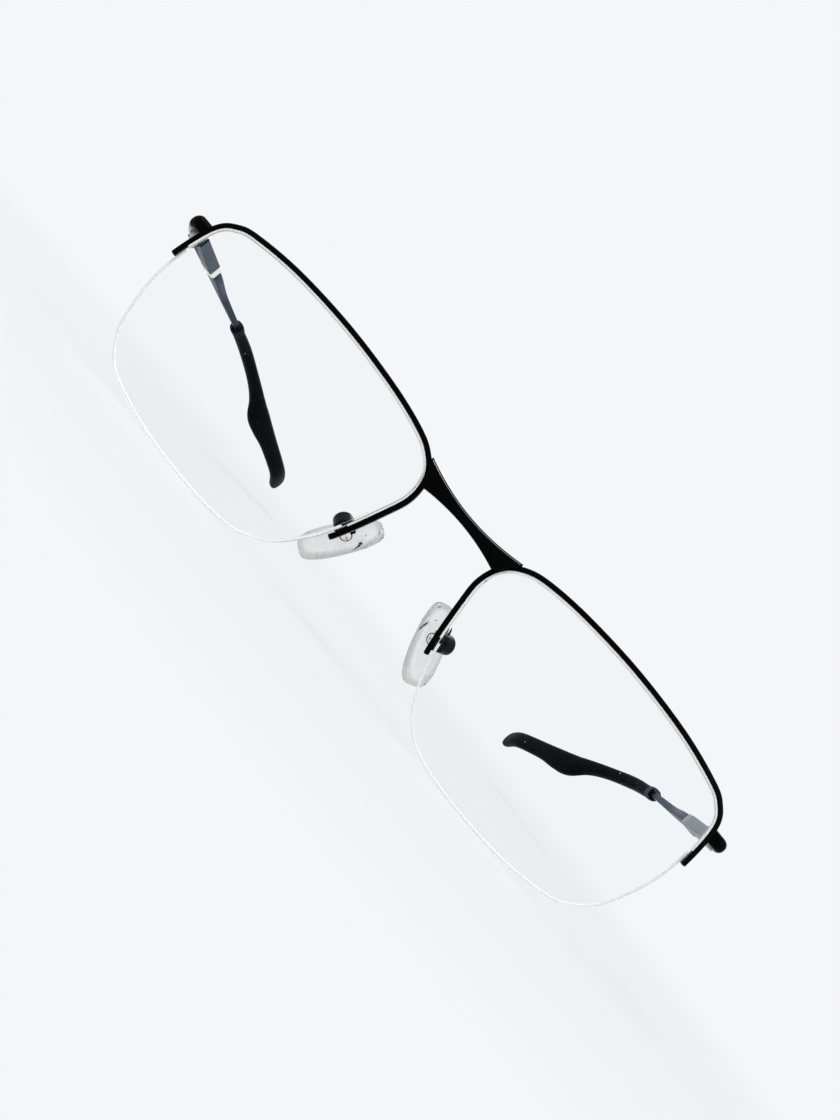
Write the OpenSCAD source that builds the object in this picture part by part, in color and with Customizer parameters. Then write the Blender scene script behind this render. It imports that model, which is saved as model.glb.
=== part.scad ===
// Half-rim metal eyeglass frame with spring hinges, screwed nose pads and plastic temple tips.
// The front stands upright in the XZ plane, +Z is up as worn and the temples run back along +Y.
// The origin is the middle of the flat front face of the bridge. Left and right are the wearer's:
// the wearer's left is +X. Each side part is drawn for +X and mirrored for the other side.

/* [Lens] */
// Width of the boxed lens
lens_w = 56; // [48:0.1:60]
// Height of the boxed lens
lens_h = 36.4; // [32:0.1:42]
// Distance between the two lenses at their nearest
dbl = 19; // [16:0.1:22]
// Radius of the front surface of the lens
base_r = 110; // [90:1:160]
// Lens thickness
lens_t = 2; // [1.6:0.1:2.4]
// Shift of each lens surface's crown towards the nose, which wraps the front round the face
crown_shift = 8.5; // [4:0.1:10]
// How far the lens surface's crown lies ahead of the bridge's front
crown_lead = 0.9; // [0.5:0.1:1.5]
// Width of the groove cut round the lens edge
groove_w = 0.6; // [0.5:0.05:0.8]
// Depth of the groove cut round the lens edge
groove_d = 0.55; // [0.5:0.05:0.7]

/* [Rim] */
// Width of the rim bar seen from the front
rim_w = 0.95; // [0.8:0.05:1.6]
// Depth of the rim bar from front to back
rim_depth = 2.2; // [1.8:0.1:2.8]
// Gap between the lens edge and the rim, where the liner shows
lens_gap = 0.3; // [0.2:0.05:0.5]
// How far the liner sits in the rim
liner_seat = 0.35; // [0.2:0.05:0.45]
// Diameter of the nylon cord that holds the lens from below
cord_d = 0.5; // [0.4:0.05:0.6]

/* [Bridge] */
// Height of the bridge at its middle
bridge_h = 1.5; // [1.2:0.1:2.4]
// Thickness of the bridge from front to back
bridge_t = 2; // [1.6:0.1:2.6]
// Height of the middle of the bridge above the lens centre line
bridge_z = 13.3; // [12:0.05:14.5]
// Half width of the flat front of the bridge
bridge_flat = 5.5; // [4:0.1:7]
// Rise of the bridge's top edge at the rims
bridge_rise = 1.45; // [1:0.05:2.2]
// Fall of the bridge's lower edge at the rims
bridge_fall = 1.8; // [1.2:0.05:2.4]
// How far the bridge bends back at the rims
bridge_back = 1.1; // [0.8:0.1:1.6]

/* [End pieces] */
// Height of the end piece
lug_h = 2.5; // [2.2:0.05:3.4]
// Thickness of the end piece
lug_t = 1.3; // [1:0.1:1.6]
// How far the end piece stands out past the rim
lug_reach = 2.45; // [1.6:0.05:4]
// Height of the end piece above the lens centre line
lug_z = 11.35; // [10:0.05:13]
// Depth of the hinge behind the front of the bridge
hinge_y = 13.2; // [12.4:0.1:16]
// Drop of the wearer's left end piece on its way back to the hinge
lug_drop_left = 0.4; // [0:0.1:2]
// Drop of the wearer's right end piece on its way back to the hinge
lug_drop_right = 1.6; // [0:0.1:2]

/* [Hinge] */
// Droop of the wearer's left temple below square, in degrees
droop_left = 0.9; // [0:0.1:6]
// Droop of the wearer's right temple below square, in degrees
droop_right = 3.4; // [0:0.1:6]
// Height of the whole hinge
hinge_h = 2.7; // [2.4:0.05:3.4]
// Radius of the hinge knuckles
knuckle_r = 1.05; // [0.9:0.01:1.1]
// Diameter of the hinge screw's shank
screw_d = 1.12; // [1:0.02:1.2]
// Running clearance round the hinge screw
screw_fit = 0.04; // [0.02:0.01:0.08]
// Length of the spring housing
housing_l = 16; // [12:0.1:18]
// Height of the spring housing
housing_h = 2.4; // [2.2:0.05:3]
// Thickness of the spring housing
housing_t = 2.15; // [2.05:0.05:2.6]
// Free turns of the hinge spring
spring_turns = 10; // [4:1:10]
// Wire diameter of the hinge spring
spring_wire = 0.24; // [0.16:0.02:0.26]

/* [Temple] */
// Distance from the hinge to the mouth of the temple tip
arm_l = 75.5; // [60:0.5:85]
// Height of the temple arm at the hinge
arm_h = 2.5; // [2:0.1:3]
// Height of the temple arm where it enters the tip
arm_end_h = 1.15; // [1:0.05:1.3]
// Thickness of the temple arm
arm_t = 1.1; // [0.9:0.05:1.3]
// How far the temple arm leans in towards the head between its housing and its tip
arm_lean = 1.2; // [0:0.1:2.5]
// Length of the temple tip, measured straight back
tip_l = 62; // [50:0.5:75]
// How far the end of the tip bends in towards the head
tip_in = 24; // [15:0.5:25]
// How far the end of the wearer's left tip drops below the arm
tip_drop_left = 17.8; // [10:0.2:22]
// How far the end of the wearer's right tip drops below the arm
tip_drop_right = 14; // [10:0.2:22]
// Height of the tip over its plain end stretch
tip_h = 4.2; // [3.6:0.1:5]
// Thickness of the tip
tip_t = 2.6; // [2.4:0.1:3.2]

/* [Nose pads] */
// Length of the nose pad
pad_l = 14.8; // [12:0.1:16]
// Width of the nose pad
pad_w = 8.2; // [6.4:0.1:8.4]
// Thickness of the nose pad
pad_t = 2; // [1.9:0.1:2.4]
// Tilt of the pad seen from the front, in degrees
pad_frontal = 28; // [18:0.5:32]
// Splay of the pad seen from above, in degrees
pad_splay = 42; // [25:0.5:48]
// Half distance between the pad centres
pad_x = 11.6; // [11.2:0.1:13]
// Depth of the pad centres behind the front of the bridge
pad_y = 9.8; // [9:0.1:11]
// Distance of the pad centres below the lens centre line
pad_below = 4.5; // [3.5:0.1:5.5]
// Diameter of the pad arm wire
wire_d = 1.1; // [0.9:0.05:1.2]

/* [Hidden] */
LEFT = 1;
RIGHT = -1;
metal_black = "#1b1b1d";
metal_grey = "#6d7580";
plastic_black = "#16171a";
$fn = 48;

// Lens shape in shares of half its boxed width and height, nose side negative. It starts at the
// lower end of the rim on the temple side and runs over the top, down the nose side and round
// under the lens. The rim covers the stretch as far as point nasal_end.
lens_shape = [
    [0.998, 0.255], [0.959, 0.672], [0.874, 0.829], [0.743, 0.901], [0.414, 0.975],
    [-0.029, 1], [-0.456, 0.966], [-0.739, 0.902], [-0.875, 0.826], [-0.965, 0.697],
    [-1, 0.492], [-0.971, 0.239], [-0.872, -0.286], [-0.743, -0.657], [-0.629, -0.827],
    [-0.456, -0.95], [-0.131, -0.998], [0.278, -0.98], [0.585, -0.901], [0.741, -0.81],
    [0.873, -0.607], [0.938, -0.375], [0.988, -0.073]
];
nasal_end = 12;
shape_steps = 4;
fit_gap = 0.03;

// Temple tip from its mouth to its end: share of its length, share of its bend towards the head,
// share of its drop, height and thickness as shares of the plain values.
tip_shape = [
    [0, 0, 0, 0.6, 0.94], [0.07, 0.02, 0.02, 0.61, 0.96], [0.2, 0.117, 0.08, 0.66, 1],
    [0.34, 0.287, 0.228, 0.66, 1.04], [0.43, 0.414, 0.366, 0.83, 1.1],
    [0.5, 0.52, 0.52, 1.27, 1.14], [0.57, 0.626, 0.6, 1.21, 1.12], [0.66, 0.753, 0.675, 1, 1.04],
    [0.82, 0.945, 0.825, 0.94, 1], [0.94, 0.99, 0.925, 1.02, 0.96],
    [0.985, 0.998, 0.985, 0.72, 0.74], [1, 1, 1, 0.3, 0.34]
];
core_last = 8;
core_r = arm_end_h / 2 - 0.03;

lens_x = (dbl + lens_w) / 2;
crown = [lens_x - crown_shift, base_r - crown_lead, 0];
rim_in = lens_gap;
rim_out = lens_gap + rim_w;
rim_front_r = base_r + 0.1;
rim_back_r = rim_front_r - rim_depth;
mid_r = base_r - lens_t / 2;
cord_in = cord_d / 2 + 0.02;

lug_out = lens_x + lens_w / 2 + rim_out + lug_reach;
arm_in = lug_out - lug_t;
hinge_x = arm_in - housing_t / 2;
lug_front = 5.9;
lug_root = 4;
butt_gap = 0.05;
leaf_gap = 0.05;
slider_h = 1;
slider_y = 2.6;
mouth_y = knuckle_r + 0.35;
bore_y = mouth_y + 1.6;
rod_r = 0.34;
bore_r = 0.72;
bush_y = bore_y + 0.2;
bush_l = 1;
nut_l = 0.8;
nut_back = 3.8;
nut_y = housing_l - nut_back;
spring_r = 0.53;
spring_y = bush_y + bush_l + fit_gap;
spring_l = nut_y - spring_y - fit_gap;

box_w = 2.6;
box_l = 3.9;
box_wall = 0.4;
box_open = pad_t / 2 + 0.3;
box_deep = 3.7;
box_up = 1.1;
tab_x = box_open + 0.65;
tab_w = box_w - 1.7;
tab_l = 2.2;
tab_past = 0.6;
tab_play = 0.35;
tab_fit = 0.1;
pad_screw_r = 0.42;

// Smooth closed curve through a list of points, k steps to each span
function spline_point(a, b, c, d, t) =
    0.5 * (2 * b + (c - a) * t + (2 * a - 5 * b + 4 * c - d) * t * t
           + (3 * b - a - 3 * c + d) * t * t * t);
function closed_curve(p, k) =
    let (n = len(p))
    [for (i = [0:n - 1]) for (j = [0:k - 1])
        spline_point(p[(i + n - 1) % n], p[i], p[(i + 1) % n], p[(i + 2) % n], j / k)];
// Smooth open curve through a list of points, k steps to each span
function open_curve(p, k) =
    let (n = len(p) - 1)
    concat([for (i = [0:n - 1]) for (j = [0:k - 1])
        spline_point(p[max(i - 1, 0)], p[i], p[i + 1], p[min(i + 2, n)], j / k)], [p[n]]);
function unit(v) = v / norm(v);

// The lens outline at true size, and a curve set outwards from it along its normals
lens_edge = closed_curve([for (q = lens_shape) [q.x * lens_w / 2, q.y * lens_h / 2]], shape_steps);
edge_n = len(lens_edge);
function edge_point(i, out) =
    let (a = lens_edge[(i + edge_n - 1) % edge_n], b = lens_edge[(i + 1) % edge_n],
         t = unit(b - a), p = lens_edge[(i + edge_n) % edge_n])
    [lens_x + p.x + out * t.y, p.y - out * t.x];
function edge_curve(from, to, out) = [for (i = [from:to]) edge_point(i, out)];
function edge_band(from, to, in, out) =
    concat(edge_curve(from, to, out), [for (i = [to:-1:from]) edge_point(i, in)]);
// Blunt round at curve point i, from offset a to offset b; way is 1 at the band's last end
function edge_cap(i, a, b, way) =
    let (m = edge_point(i, (a + b) / 2), n = edge_point(i, a) - m, t = way * [-n.y, n.x] / 2)
    [for (k = [30:30:150]) m + cos(k) * n + sin(k) * t];
// Depth of a sphere of radius r about the lens crown's centre, below the point (x, z)
function surface_y(r, x, z) = crown.y - sqrt(r * r - pow(x - crown.x, 2) - z * z);

// Surface through rings of equal counts of points, closed with a flat face at each end
function ring_at(c, t, up, rw, rh, sides) =
    let (u = unit(cross(up, t)), v = cross(t, u))
    [for (j = [0:sides - 1]) c + rw * cos(360 * j / sides) * u + rh * sin(360 * j / sides) * v];
function path_dir(p, i) = unit(p[min(i + 1, len(p) - 1)] - p[max(i - 1, 0)]);
module skin(rings) {
    n = len(rings[0]);
    m = len(rings);
    polyhedron(
        points = [for (r = rings) for (q = r) q],
        faces = concat(
            [[for (j = [0:n - 1]) j]],
            [[for (j = [n - 1:-1:0]) (m - 1) * n + j]],
            [for (i = [0:m - 2]) for (j = [0:n - 1])
                [i * n + j, (i + 1) * n + j, (i + 1) * n + (j + 1) % n]],
            [for (i = [0:m - 2]) for (j = [0:n - 1])
                [i * n + j, (i + 1) * n + (j + 1) % n, i * n + (j + 1) % n]]
        )
    );
}
module tube(path, r, up, sides) {
    skin([for (i = [0:len(path) - 1]) ring_at(path[i], path_dir(path, i), up, r, r, sides)]);
}

// Placing frames
module from_bridge() {
    translate([0, 0, -bridge_z]) children();
}
module on_side(s) {
    from_bridge() mirror([s == LEFT ? 0 : 1, 0, 0]) children();
}
function droop(s) = s == LEFT ? droop_left : droop_right;
function hinge_z(s) = lug_z - (s == LEFT ? lug_drop_left : lug_drop_right);
module at_hinge(s) {
    translate([hinge_x, hinge_y, hinge_z(s)]) rotate([-droop(s), 0, 0]) children();
}
module at_pad() {
    translate([pad_x, pad_y, -pad_below])
        rotate([0, -pad_frontal, 0]) rotate([0, 0, -pad_splay]) children();
}

// Front-view outline carried from front to back
module from_front(points) {
    ahead = crown_lead * 6;
    translate([0, lens_h / 2, 0]) rotate([90, 0, 0])
        linear_extrude(lens_h / 2 + ahead) polygon(points);
}
// Plan outline carried from bottom to top
module from_above(points, z0, z1) {
    translate([0, 0, z0]) linear_extrude(z1 - z0) polygon(points);
}
// Side outline of (y, z) points carried across from x0 to x1
module from_side(points, x0, x1) {
    translate([x0, 0, 0]) rotate([90, 0, 90]) linear_extrude(x1 - x0) polygon(points);
}
module dome(r) {
    translate(crown) sphere(r, $fn = 240);
}
module dome_shell(outer, inner) {
    difference() {
        dome(outer);
        dome(inner);
    }
}
// Strip of the lens surface between two offsets from the lens edge
module edge_strip(from, to, in, out, outer, inner) {
    intersection() {
        dome_shell(outer, inner);
        from_front(edge_band(from, to, in, out));
    }
}

// Front: lenses, cords, liners and rims
module lens(s) {
    color("#dfe6ea", 0.35) on_side(s) difference() {
        intersection() {
            dome_shell(base_r, base_r - lens_t);
            from_front(edge_curve(0, edge_n - 1, 0));
        }
        difference() {
            dome_shell(mid_r + groove_w / 2, mid_r - groove_w / 2);
            from_front(edge_curve(0, edge_n - 1, -groove_d));
        }
    }
}
module nylon_cord(s) {
    first = nasal_end * shape_steps - 1;
    path = [for (i = [first:edge_n + 1])
        let (p = edge_point(i, -cord_in)) [p.x, surface_y(mid_r, p.x, p.y), p.y]];
    color("#e9eef0") on_side(s) tube(path, cord_d / 2, [0, 1, 0], 8);
}
rim_last = nasal_end * shape_steps;
module rim_liner(s) {
    color("#efeadd") on_side(s)
        edge_strip(2, rim_last - 2, -groove_d + 0.05, rim_in + liner_seat - 0.02,
                   mid_r + groove_w / 2 - 0.05, mid_r - groove_w / 2 + 0.05);
}
module upper_rim(s) {
    color(metal_black) on_side(s) difference() {
        intersection() {
            dome_shell(rim_front_r, rim_back_r);
            from_front(concat(
                edge_curve(0, rim_last, rim_out), edge_cap(rim_last, rim_out, rim_in, 1),
                [for (i = [rim_last:-1:0]) edge_point(i, rim_in)],
                edge_cap(0, rim_in, rim_out, 1)));
        }
        edge_strip(1, rim_last - 1, rim_in - 0.5, rim_in + liner_seat,
                   mid_r + groove_w / 2 - 0.03, mid_r - groove_w / 2 + 0.03);
    }
}

// Bridge: a front-view shape met by a plan shape, cut to the outer edges of both rims
bridge_end = dbl / 2 + 2;
bridge_line = [for (k = [-8:8]) k / 8 * (bridge_end + 2)];
bridge_bent = [for (k = [0:5]) bridge_flat + k / 5 * (bridge_end + 2 - bridge_flat)];
bridge_plan = concat([for (k = [5:-1:0]) -bridge_bent[k]], bridge_bent);
function bridge_bend(x) =
    bridge_back * pow(max(abs(x) - bridge_flat, 0) / (bridge_end - bridge_flat), 2);
module bridge() {
    rise = bridge_rise / pow(bridge_end, 2);
    fall = bridge_fall / pow(bridge_end, 2);
    color(metal_black) from_bridge() difference() {
        intersection() {
            from_front(concat(
                [for (x = bridge_line) [x, bridge_z - bridge_h / 2 - fall * x * x]],
                [for (x = bridge_line) [-x, bridge_z + bridge_h / 2 + rise * x * x]]));
            from_above(concat(
                [for (x = bridge_plan) [x, bridge_bend(x)]],
                [for (x = bridge_plan) [-x, bridge_t + bridge_bend(x)]]), 0, lens_h);
        }
        for (m = [0, 1]) mirror([m, 0, 0]) from_front(edge_curve(0, edge_n - 1, rim_out));
    }
}

// End piece: leaves the rim, turns the corner and runs back to the hinge. Each ring stands on the
// plan path at point p with outward direction n, height z and thickness t. Its outer edges are
// rounded and its inner face is flat.
corner_r = 2.2;
lug_round = 0.75;
function lug_ring(p, n, z, h, t) =
    let (r = lug_round, out = concat(
        [[-t, h / 2]], [for (a = [90:-30:0]) [r * (cos(a) - 1), h / 2 + r * (sin(a) - 1)]],
        [for (a = [0:-30:-90]) [r * (cos(a) - 1), r * (sin(a) + 1) - h / 2]], [[-t, -h / 2]]))
    [for (q = out) [p.x + q.x * n.x, p.y + q.x * n.y, z + q.y]];
module end_piece(s) {
    rim_x = lens_x + lens_w / 2 - lug_root;
    front_t = lug_t + 0.4;
    middle = [lug_out - corner_r, lug_front + corner_r];
    color(metal_black) on_side(s) difference() {
        skin(concat(
            [lug_ring([rim_x, lug_front], [0, -1], lug_z, lug_h, front_t)],
            [for (a = [-90:15:0])
                lug_ring(middle + corner_r * [cos(a), sin(a)], [cos(a), sin(a)], lug_z, lug_h,
                         lug_t - (front_t - lug_t) * a / 90)],
            [lug_ring([lug_out, hinge_y + 1], [1, 0], hinge_z(s), hinge_h, lug_t)]));
        from_front(edge_curve(0, edge_n - 1, rim_out));
        at_hinge(s) translate([-lug_h, 0, -2 * lug_h]) cube(4 * lug_h);
    }
}

// Hinge: leaf with two knuckles on the end piece, screw, and a sprung slider in the temple
module knuckle(z0, z1) {
    translate([0, 0, z0]) cylinder(r = knuckle_r, h = z1 - z0);
}
module hinge_leaf(s) {
    root_y = -knuckle_r - 0.2;
    inner = -0.7;
    color(metal_black) on_side(s) at_hinge(s) difference() {
        union() {
            translate([inner, root_y - 2.4, -hinge_h / 2])
                cube([housing_t / 2 - inner, 2.4, hinge_h]);
            for (z = [-hinge_h / 2, slider_h / 2 + leaf_gap]) {
                height = hinge_h / 2 - slider_h / 2 - leaf_gap;
                knuckle(z, z + height);
                translate([inner, root_y - 0.1, z]) cube([knuckle_r - inner - 0.1, -root_y, height]);
            }
        }
        translate([0, 0, -hinge_h]) cylinder(d = screw_d + 2 * screw_fit, h = 2 * hinge_h);
    }
}
module hinge_screw(s) {
    head_r = 0.9;
    head_h = 0.45;
    top = hinge_h / 2 + fit_gap;
    color("#8f959b") on_side(s) at_hinge(s) difference() {
        union() {
            translate([0, 0, -hinge_h / 2]) cylinder(d = screw_d, h = hinge_h + 2 * fit_gap);
            translate([0, 0, top]) cylinder(r = head_r, h = head_h);
        }
        translate([-head_r, -0.12, top + head_h / 2]) cube([2 * head_r, 0.24, head_h]);
    }
}
module hinge_slider(s) {
    shank_w = slider_h;
    color(metal_grey) on_side(s) at_hinge(s) difference() {
        union() {
            knuckle(-slider_h / 2, slider_h / 2);
            translate([-shank_w / 2, 0, -slider_h / 2]) cube([shank_w, slider_y, slider_h]);
            translate([0, slider_y - 0.1, 0]) rotate([-90, 0, 0])
                cylinder(r = rod_r, h = nut_y + nut_l - slider_y + 0.1);
        }
        translate([0, 0, -hinge_h]) cylinder(d = screw_d + 2 * screw_fit, h = 2 * hinge_h);
    }
}
module slider_nut(s) {
    color("#b08d4a") on_side(s) at_hinge(s) translate([0, nut_y, 0]) rotate([-90, 0, 0])
        difference() {
            cylinder(r = bore_r - 0.08, h = nut_l);
            translate([0, 0, -1]) cylinder(r = rod_r + fit_gap, h = nut_l + 2);
        }
}
module spring_bush(s) {
    color("#b08d4a") on_side(s) at_hinge(s) translate([0, bush_y, 0]) rotate([-90, 0, 0])
        difference() {
            cylinder(r = bore_r - fit_gap, h = bush_l);
            translate([0, 0, -1]) cylinder(r = rod_r + fit_gap, h = bush_l + 2);
        }
}
// Coil of spring_turns turns; its least gap to itself is one pitch less the wire
spring_ring = 12;
module hinge_spring(s) {
    run = spring_l - spring_wire;
    path = [for (i = [0:spring_turns * spring_ring])
        let (a = 360 * i / spring_ring)
        [spring_r * cos(a), spring_y + spring_wire / 2 + run * i / (spring_turns * spring_ring),
         spring_r * sin(a)]];
    echo(spring_gap = run / spring_turns - spring_wire);
    color("silver") on_side(s) at_hinge(s) tube(path, spring_wire / 2, [0, 1, 0], 6);
}
module spring_housing(s) {
    half = housing_t / 2;
    plan = [
        [-half, mouth_y], [half, mouth_y], [half, mouth_y + housing_l],
        [-half + 0.9, mouth_y + housing_l], [-half, mouth_y + housing_l - 1.6]];
    color(metal_grey) on_side(s) at_hinge(s) difference() {
        from_above(plan, -housing_h / 2, housing_h / 2);
        translate([0, bore_y, 0]) rotate([-90, 0, 0])
            cylinder(r = bore_r, h = nut_y + nut_l + 0.6 - bore_y);
        translate([-slider_h / 2 - 0.05, mouth_y - 1, -slider_h / 2 - 0.05])
            cube([slider_h + 0.1, bore_y - mouth_y + 1.02, slider_h + 0.1]);
    }
}

// Temple: flat metal arm whose end runs on as a wire core inside the plastic tip
arm_mid = arm_in - hinge_x + arm_t / 2;
neck_run = 4;
function tip_drop(s) = s == LEFT ? tip_drop_left : tip_drop_right;
tip_steps = 3;
function tip_line(s) = open_curve(
    [for (q = tip_shape) [arm_mid - arm_lean - q[1] * tip_in, arm_l + q[0] * tip_l,
                          -q[2] * tip_drop(s)]], tip_steps);
tip_size = open_curve([for (q = tip_shape) [q[4] * tip_t / 2, q[3] * tip_h / 2]], tip_steps);
tip_sides = 12;
core_rings = core_last * tip_steps;
function core_ring(line, i, r) =
    ring_at(line[i], path_dir(line, i), [0, 0, 1], r, r, tip_sides);
module temple_arm(s) {
    line = tip_line(s);
    neck = housing_l + mouth_y + neck_run;
    half = arm_t / 2;
    plan = [
        [arm_mid - half, 0], [arm_mid + half, 0], [arm_mid + half, neck],
        [arm_mid - arm_lean + half, arm_l], [arm_mid - arm_lean - half, arm_l],
        [arm_mid - half, neck]];
    side = [
        [butt_gap, -arm_h / 2], [neck, -arm_h / 2 + 0.3], [arm_l, -arm_end_h / 2],
        [arm_l, arm_end_h / 2], [neck, arm_h / 2 - 0.3], [butt_gap, arm_h / 2]];
    color(metal_grey) on_side(s) at_hinge(s) {
        intersection() {
            from_above(plan, -arm_h, arm_h);
            from_side(side, arm_mid - arm_lean - arm_t, arm_mid + arm_t);
        }
        skin(concat(
            [ring_at(line[0] - [0, 0.5, 0], [0, 1, 0], [0, 0, 1], core_r, core_r, tip_sides)],
            [for (i = [0:core_rings]) core_ring(line, i, core_r)]));
    }
}
module temple_tip(s) {
    line = tip_line(s);
    blind = [for (q = core_ring(line, core_rings, core_r + fit_gap))
        q + 0.1 * path_dir(line, core_rings)];
    color(plastic_black) on_side(s) at_hinge(s) translate([0, fit_gap, 0]) skin(concat(
        [blind], [for (i = [core_rings - 1:-1:0]) core_ring(line, i, core_r + fit_gap)],
        [for (i = [0:len(line) - 1])
            ring_at(line[i], path_dir(line, i), [0, 0, 1], tip_size[i].x, tip_size[i].y,
                    tip_sides)]));
}

// Nose pads: wire arm, screw box, screw, core plate and clear silicone pad
function pad_to_front(v) =
    let (a = [v.x * cos(pad_splay) + v.y * sin(pad_splay),
              -v.x * sin(pad_splay) + v.y * cos(pad_splay), v.z])
    [pad_x + a.x * cos(pad_frontal) - a.z * sin(pad_frontal), pad_y + a.y,
     -pad_below + a.x * sin(pad_frontal) + a.z * cos(pad_frontal)];
module pad_arm(s) {
    root_i = (nasal_end - 1) * shape_steps + 1;
    root = edge_point(root_i, (rim_in + rim_out) / 2);
    root_y = surface_y(rim_back_r, root.x, root.y) + 0.12;
    end = pad_to_front([box_open + box_deep / 2, 0, box_up + box_l / 2 + 0.12]);
    over = pad_to_front([box_open + box_deep / 2, 0, box_up + box_l / 2 + 0.9]);
    path = open_curve([
        [root.x, root_y, root.y], [root.x + 0.1, root_y + 1.2, root.y + 0.2],
        [(2 * root.x + end.x) / 3, (root_y + end.y) / 2 + 0.5, root.y + 0.2],
        [(root.x + 2 * end.x) / 3, end.y - 0.6, root.y - 0.3], over, end], 3);
    color(metal_grey) on_side(s) tube(path, wire_d / 2, [1, 0, 0], 10);
}
// Flat piece with round ends, w wide and l long, lying across x
module stadium(w, l, x0, x1) {
    translate([x0, 0, 0]) rotate([90, 0, 90]) linear_extrude(x1 - x0) {
        square([w, l - w], center = true);
        for (z = [-1, 1]) translate([0, z * (l - w) / 2]) circle(d = w);
    }
}
module pad_cross_hole(r) {
    translate([tab_x, 0, box_up]) rotate([-90, 0, 0]) cylinder(r = r, h = 2 * box_w, center = true);
}
// The box is flat and open towards the pad and half round behind
module pad_box(s) {
    r = box_l / 2;
    corner = 0.4;
    outline = concat(
        [for (a = [-90:15:90]) [box_open + box_deep - r + r * cos(a), r * sin(a)]],
        [[box_open + corner, r], [box_open, r - corner], [box_open, corner - r],
         [box_open + corner, -r]]);
    color(metal_black) on_side(s) at_pad() difference() {
        translate([0, box_w / 2, box_up]) rotate([90, 0, 0]) linear_extrude(box_w)
            polygon(outline);
        translate([0, -tab_w / 2 - tab_fit, box_up - r + box_wall])
            cube([tab_x + tab_past + tab_play, tab_w + 2 * tab_fit, 2 * (r - box_wall)]);
        pad_cross_hole(pad_screw_r + fit_gap);
    }
}
module pad_screw(s) {
    head_r = 0.9;
    head_h = 0.4;
    color("#9aa0a6") on_side(s) at_pad() translate([tab_x, 0, box_up]) rotate([-90, 0, 0])
        difference() {
            union() {
                translate([0, 0, -box_w / 2 - fit_gap]) cylinder(r = pad_screw_r, h = box_w);
                translate([0, 0, -box_w / 2 - head_h - fit_gap]) cylinder(r = head_r, h = head_h);
            }
            translate([-1, -0.1, -box_w / 2 - head_h - 0.1]) cube([2, 0.2, 0.25]);
        }
}
core_t = 0.5;
core_w = 4;
core_l = 9;
module pad_core_shape(grow) {
    stadium(core_w + 2 * grow, core_l + 2 * grow, -core_t / 2 - grow, core_t / 2 + grow);
    translate([0, -tab_w / 2 - grow, box_up - tab_l / 2 - grow])
        cube([tab_x + tab_past, tab_w + 2 * grow, tab_l + 2 * grow]);
}
module pad_core(s) {
    color("#c9ced2") on_side(s) at_pad() difference() {
        pad_core_shape(0);
        pad_cross_hole(pad_screw_r + 2 * fit_gap);
    }
}
pad_rings = 16;
module nose_pad(s) {
    // Height up the pad follows a sine, its width an ellipse drawn in a little at the top
    rings = [for (i = [0:pad_rings])
        let (a = -86 + 172 * i / pad_rings, full = pow(cos(a), 0.8), egg = 1 - 0.12 * sin(a))
        ring_at([0, 0, pad_l / 2 * sin(a)], [0, 0, 1], [0, 1, 0],
                pad_t / 2 * (0.35 + 0.65 * full), pad_w / 2 * full * egg, 16)];
    color("#e6ebec", 0.6) on_side(s) at_pad() difference() {
        skin(rings);
        pad_core_shape(fit_gap);
    }
}

bridge();
upper_rim(LEFT);  // upper_rim_left
upper_rim(RIGHT);  // upper_rim_right
rim_liner(LEFT);  // rim_liner_left
rim_liner(RIGHT);  // rim_liner_right
lens(LEFT);  // lens_left
lens(RIGHT);  // lens_right
nylon_cord(LEFT);  // nylon_cord_left
nylon_cord(RIGHT);  // nylon_cord_right
end_piece(LEFT);  // end_piece_left
end_piece(RIGHT);  // end_piece_right
hinge_leaf(LEFT);  // hinge_leaf_left
hinge_leaf(RIGHT);  // hinge_leaf_right
hinge_screw(LEFT);  // hinge_screw_left
hinge_screw(RIGHT);  // hinge_screw_right
hinge_slider(LEFT);  // hinge_slider_left
hinge_slider(RIGHT);  // hinge_slider_right
slider_nut(LEFT);  // slider_nut_left
slider_nut(RIGHT);  // slider_nut_right
hinge_spring(LEFT);  // hinge_spring_left
hinge_spring(RIGHT);  // hinge_spring_right
spring_bush(LEFT);  // spring_bush_left
spring_bush(RIGHT);  // spring_bush_right
spring_housing(LEFT);  // spring_housing_left
spring_housing(RIGHT);  // spring_housing_right
temple_arm(LEFT);  // temple_arm_left
temple_arm(RIGHT);  // temple_arm_right
temple_tip(LEFT);  // temple_tip_left
temple_tip(RIGHT);  // temple_tip_right
pad_arm(LEFT);  // pad_arm_left
pad_arm(RIGHT);  // pad_arm_right
pad_box(LEFT);  // pad_box_left
pad_box(RIGHT);  // pad_box_right
pad_screw(LEFT);  // pad_screw_left
pad_screw(RIGHT);  // pad_screw_right
pad_core(LEFT);  // pad_core_left
pad_core(RIGHT);  // pad_core_right
nose_pad(LEFT);  // nose_pad_left
nose_pad(RIGHT);  // nose_pad_right
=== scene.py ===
"""Half-rim metal eyeglasses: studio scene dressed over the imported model.

Every size is in metres in the model's own frame: +X is the wearer's left, +Y runs back along the
temples, +Z is up as worn, and the origin is the middle of the bridge's front face. Heights inside
the front are given from the lens centre line, which lies BRIDGE_HEIGHT below the origin.
"""

import logging
import math
from collections.abc import Callable
from dataclasses import dataclass, field
from enum import Enum
from functools import cache

import bpy
import numpy as np
from mathutils import Matrix


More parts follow.
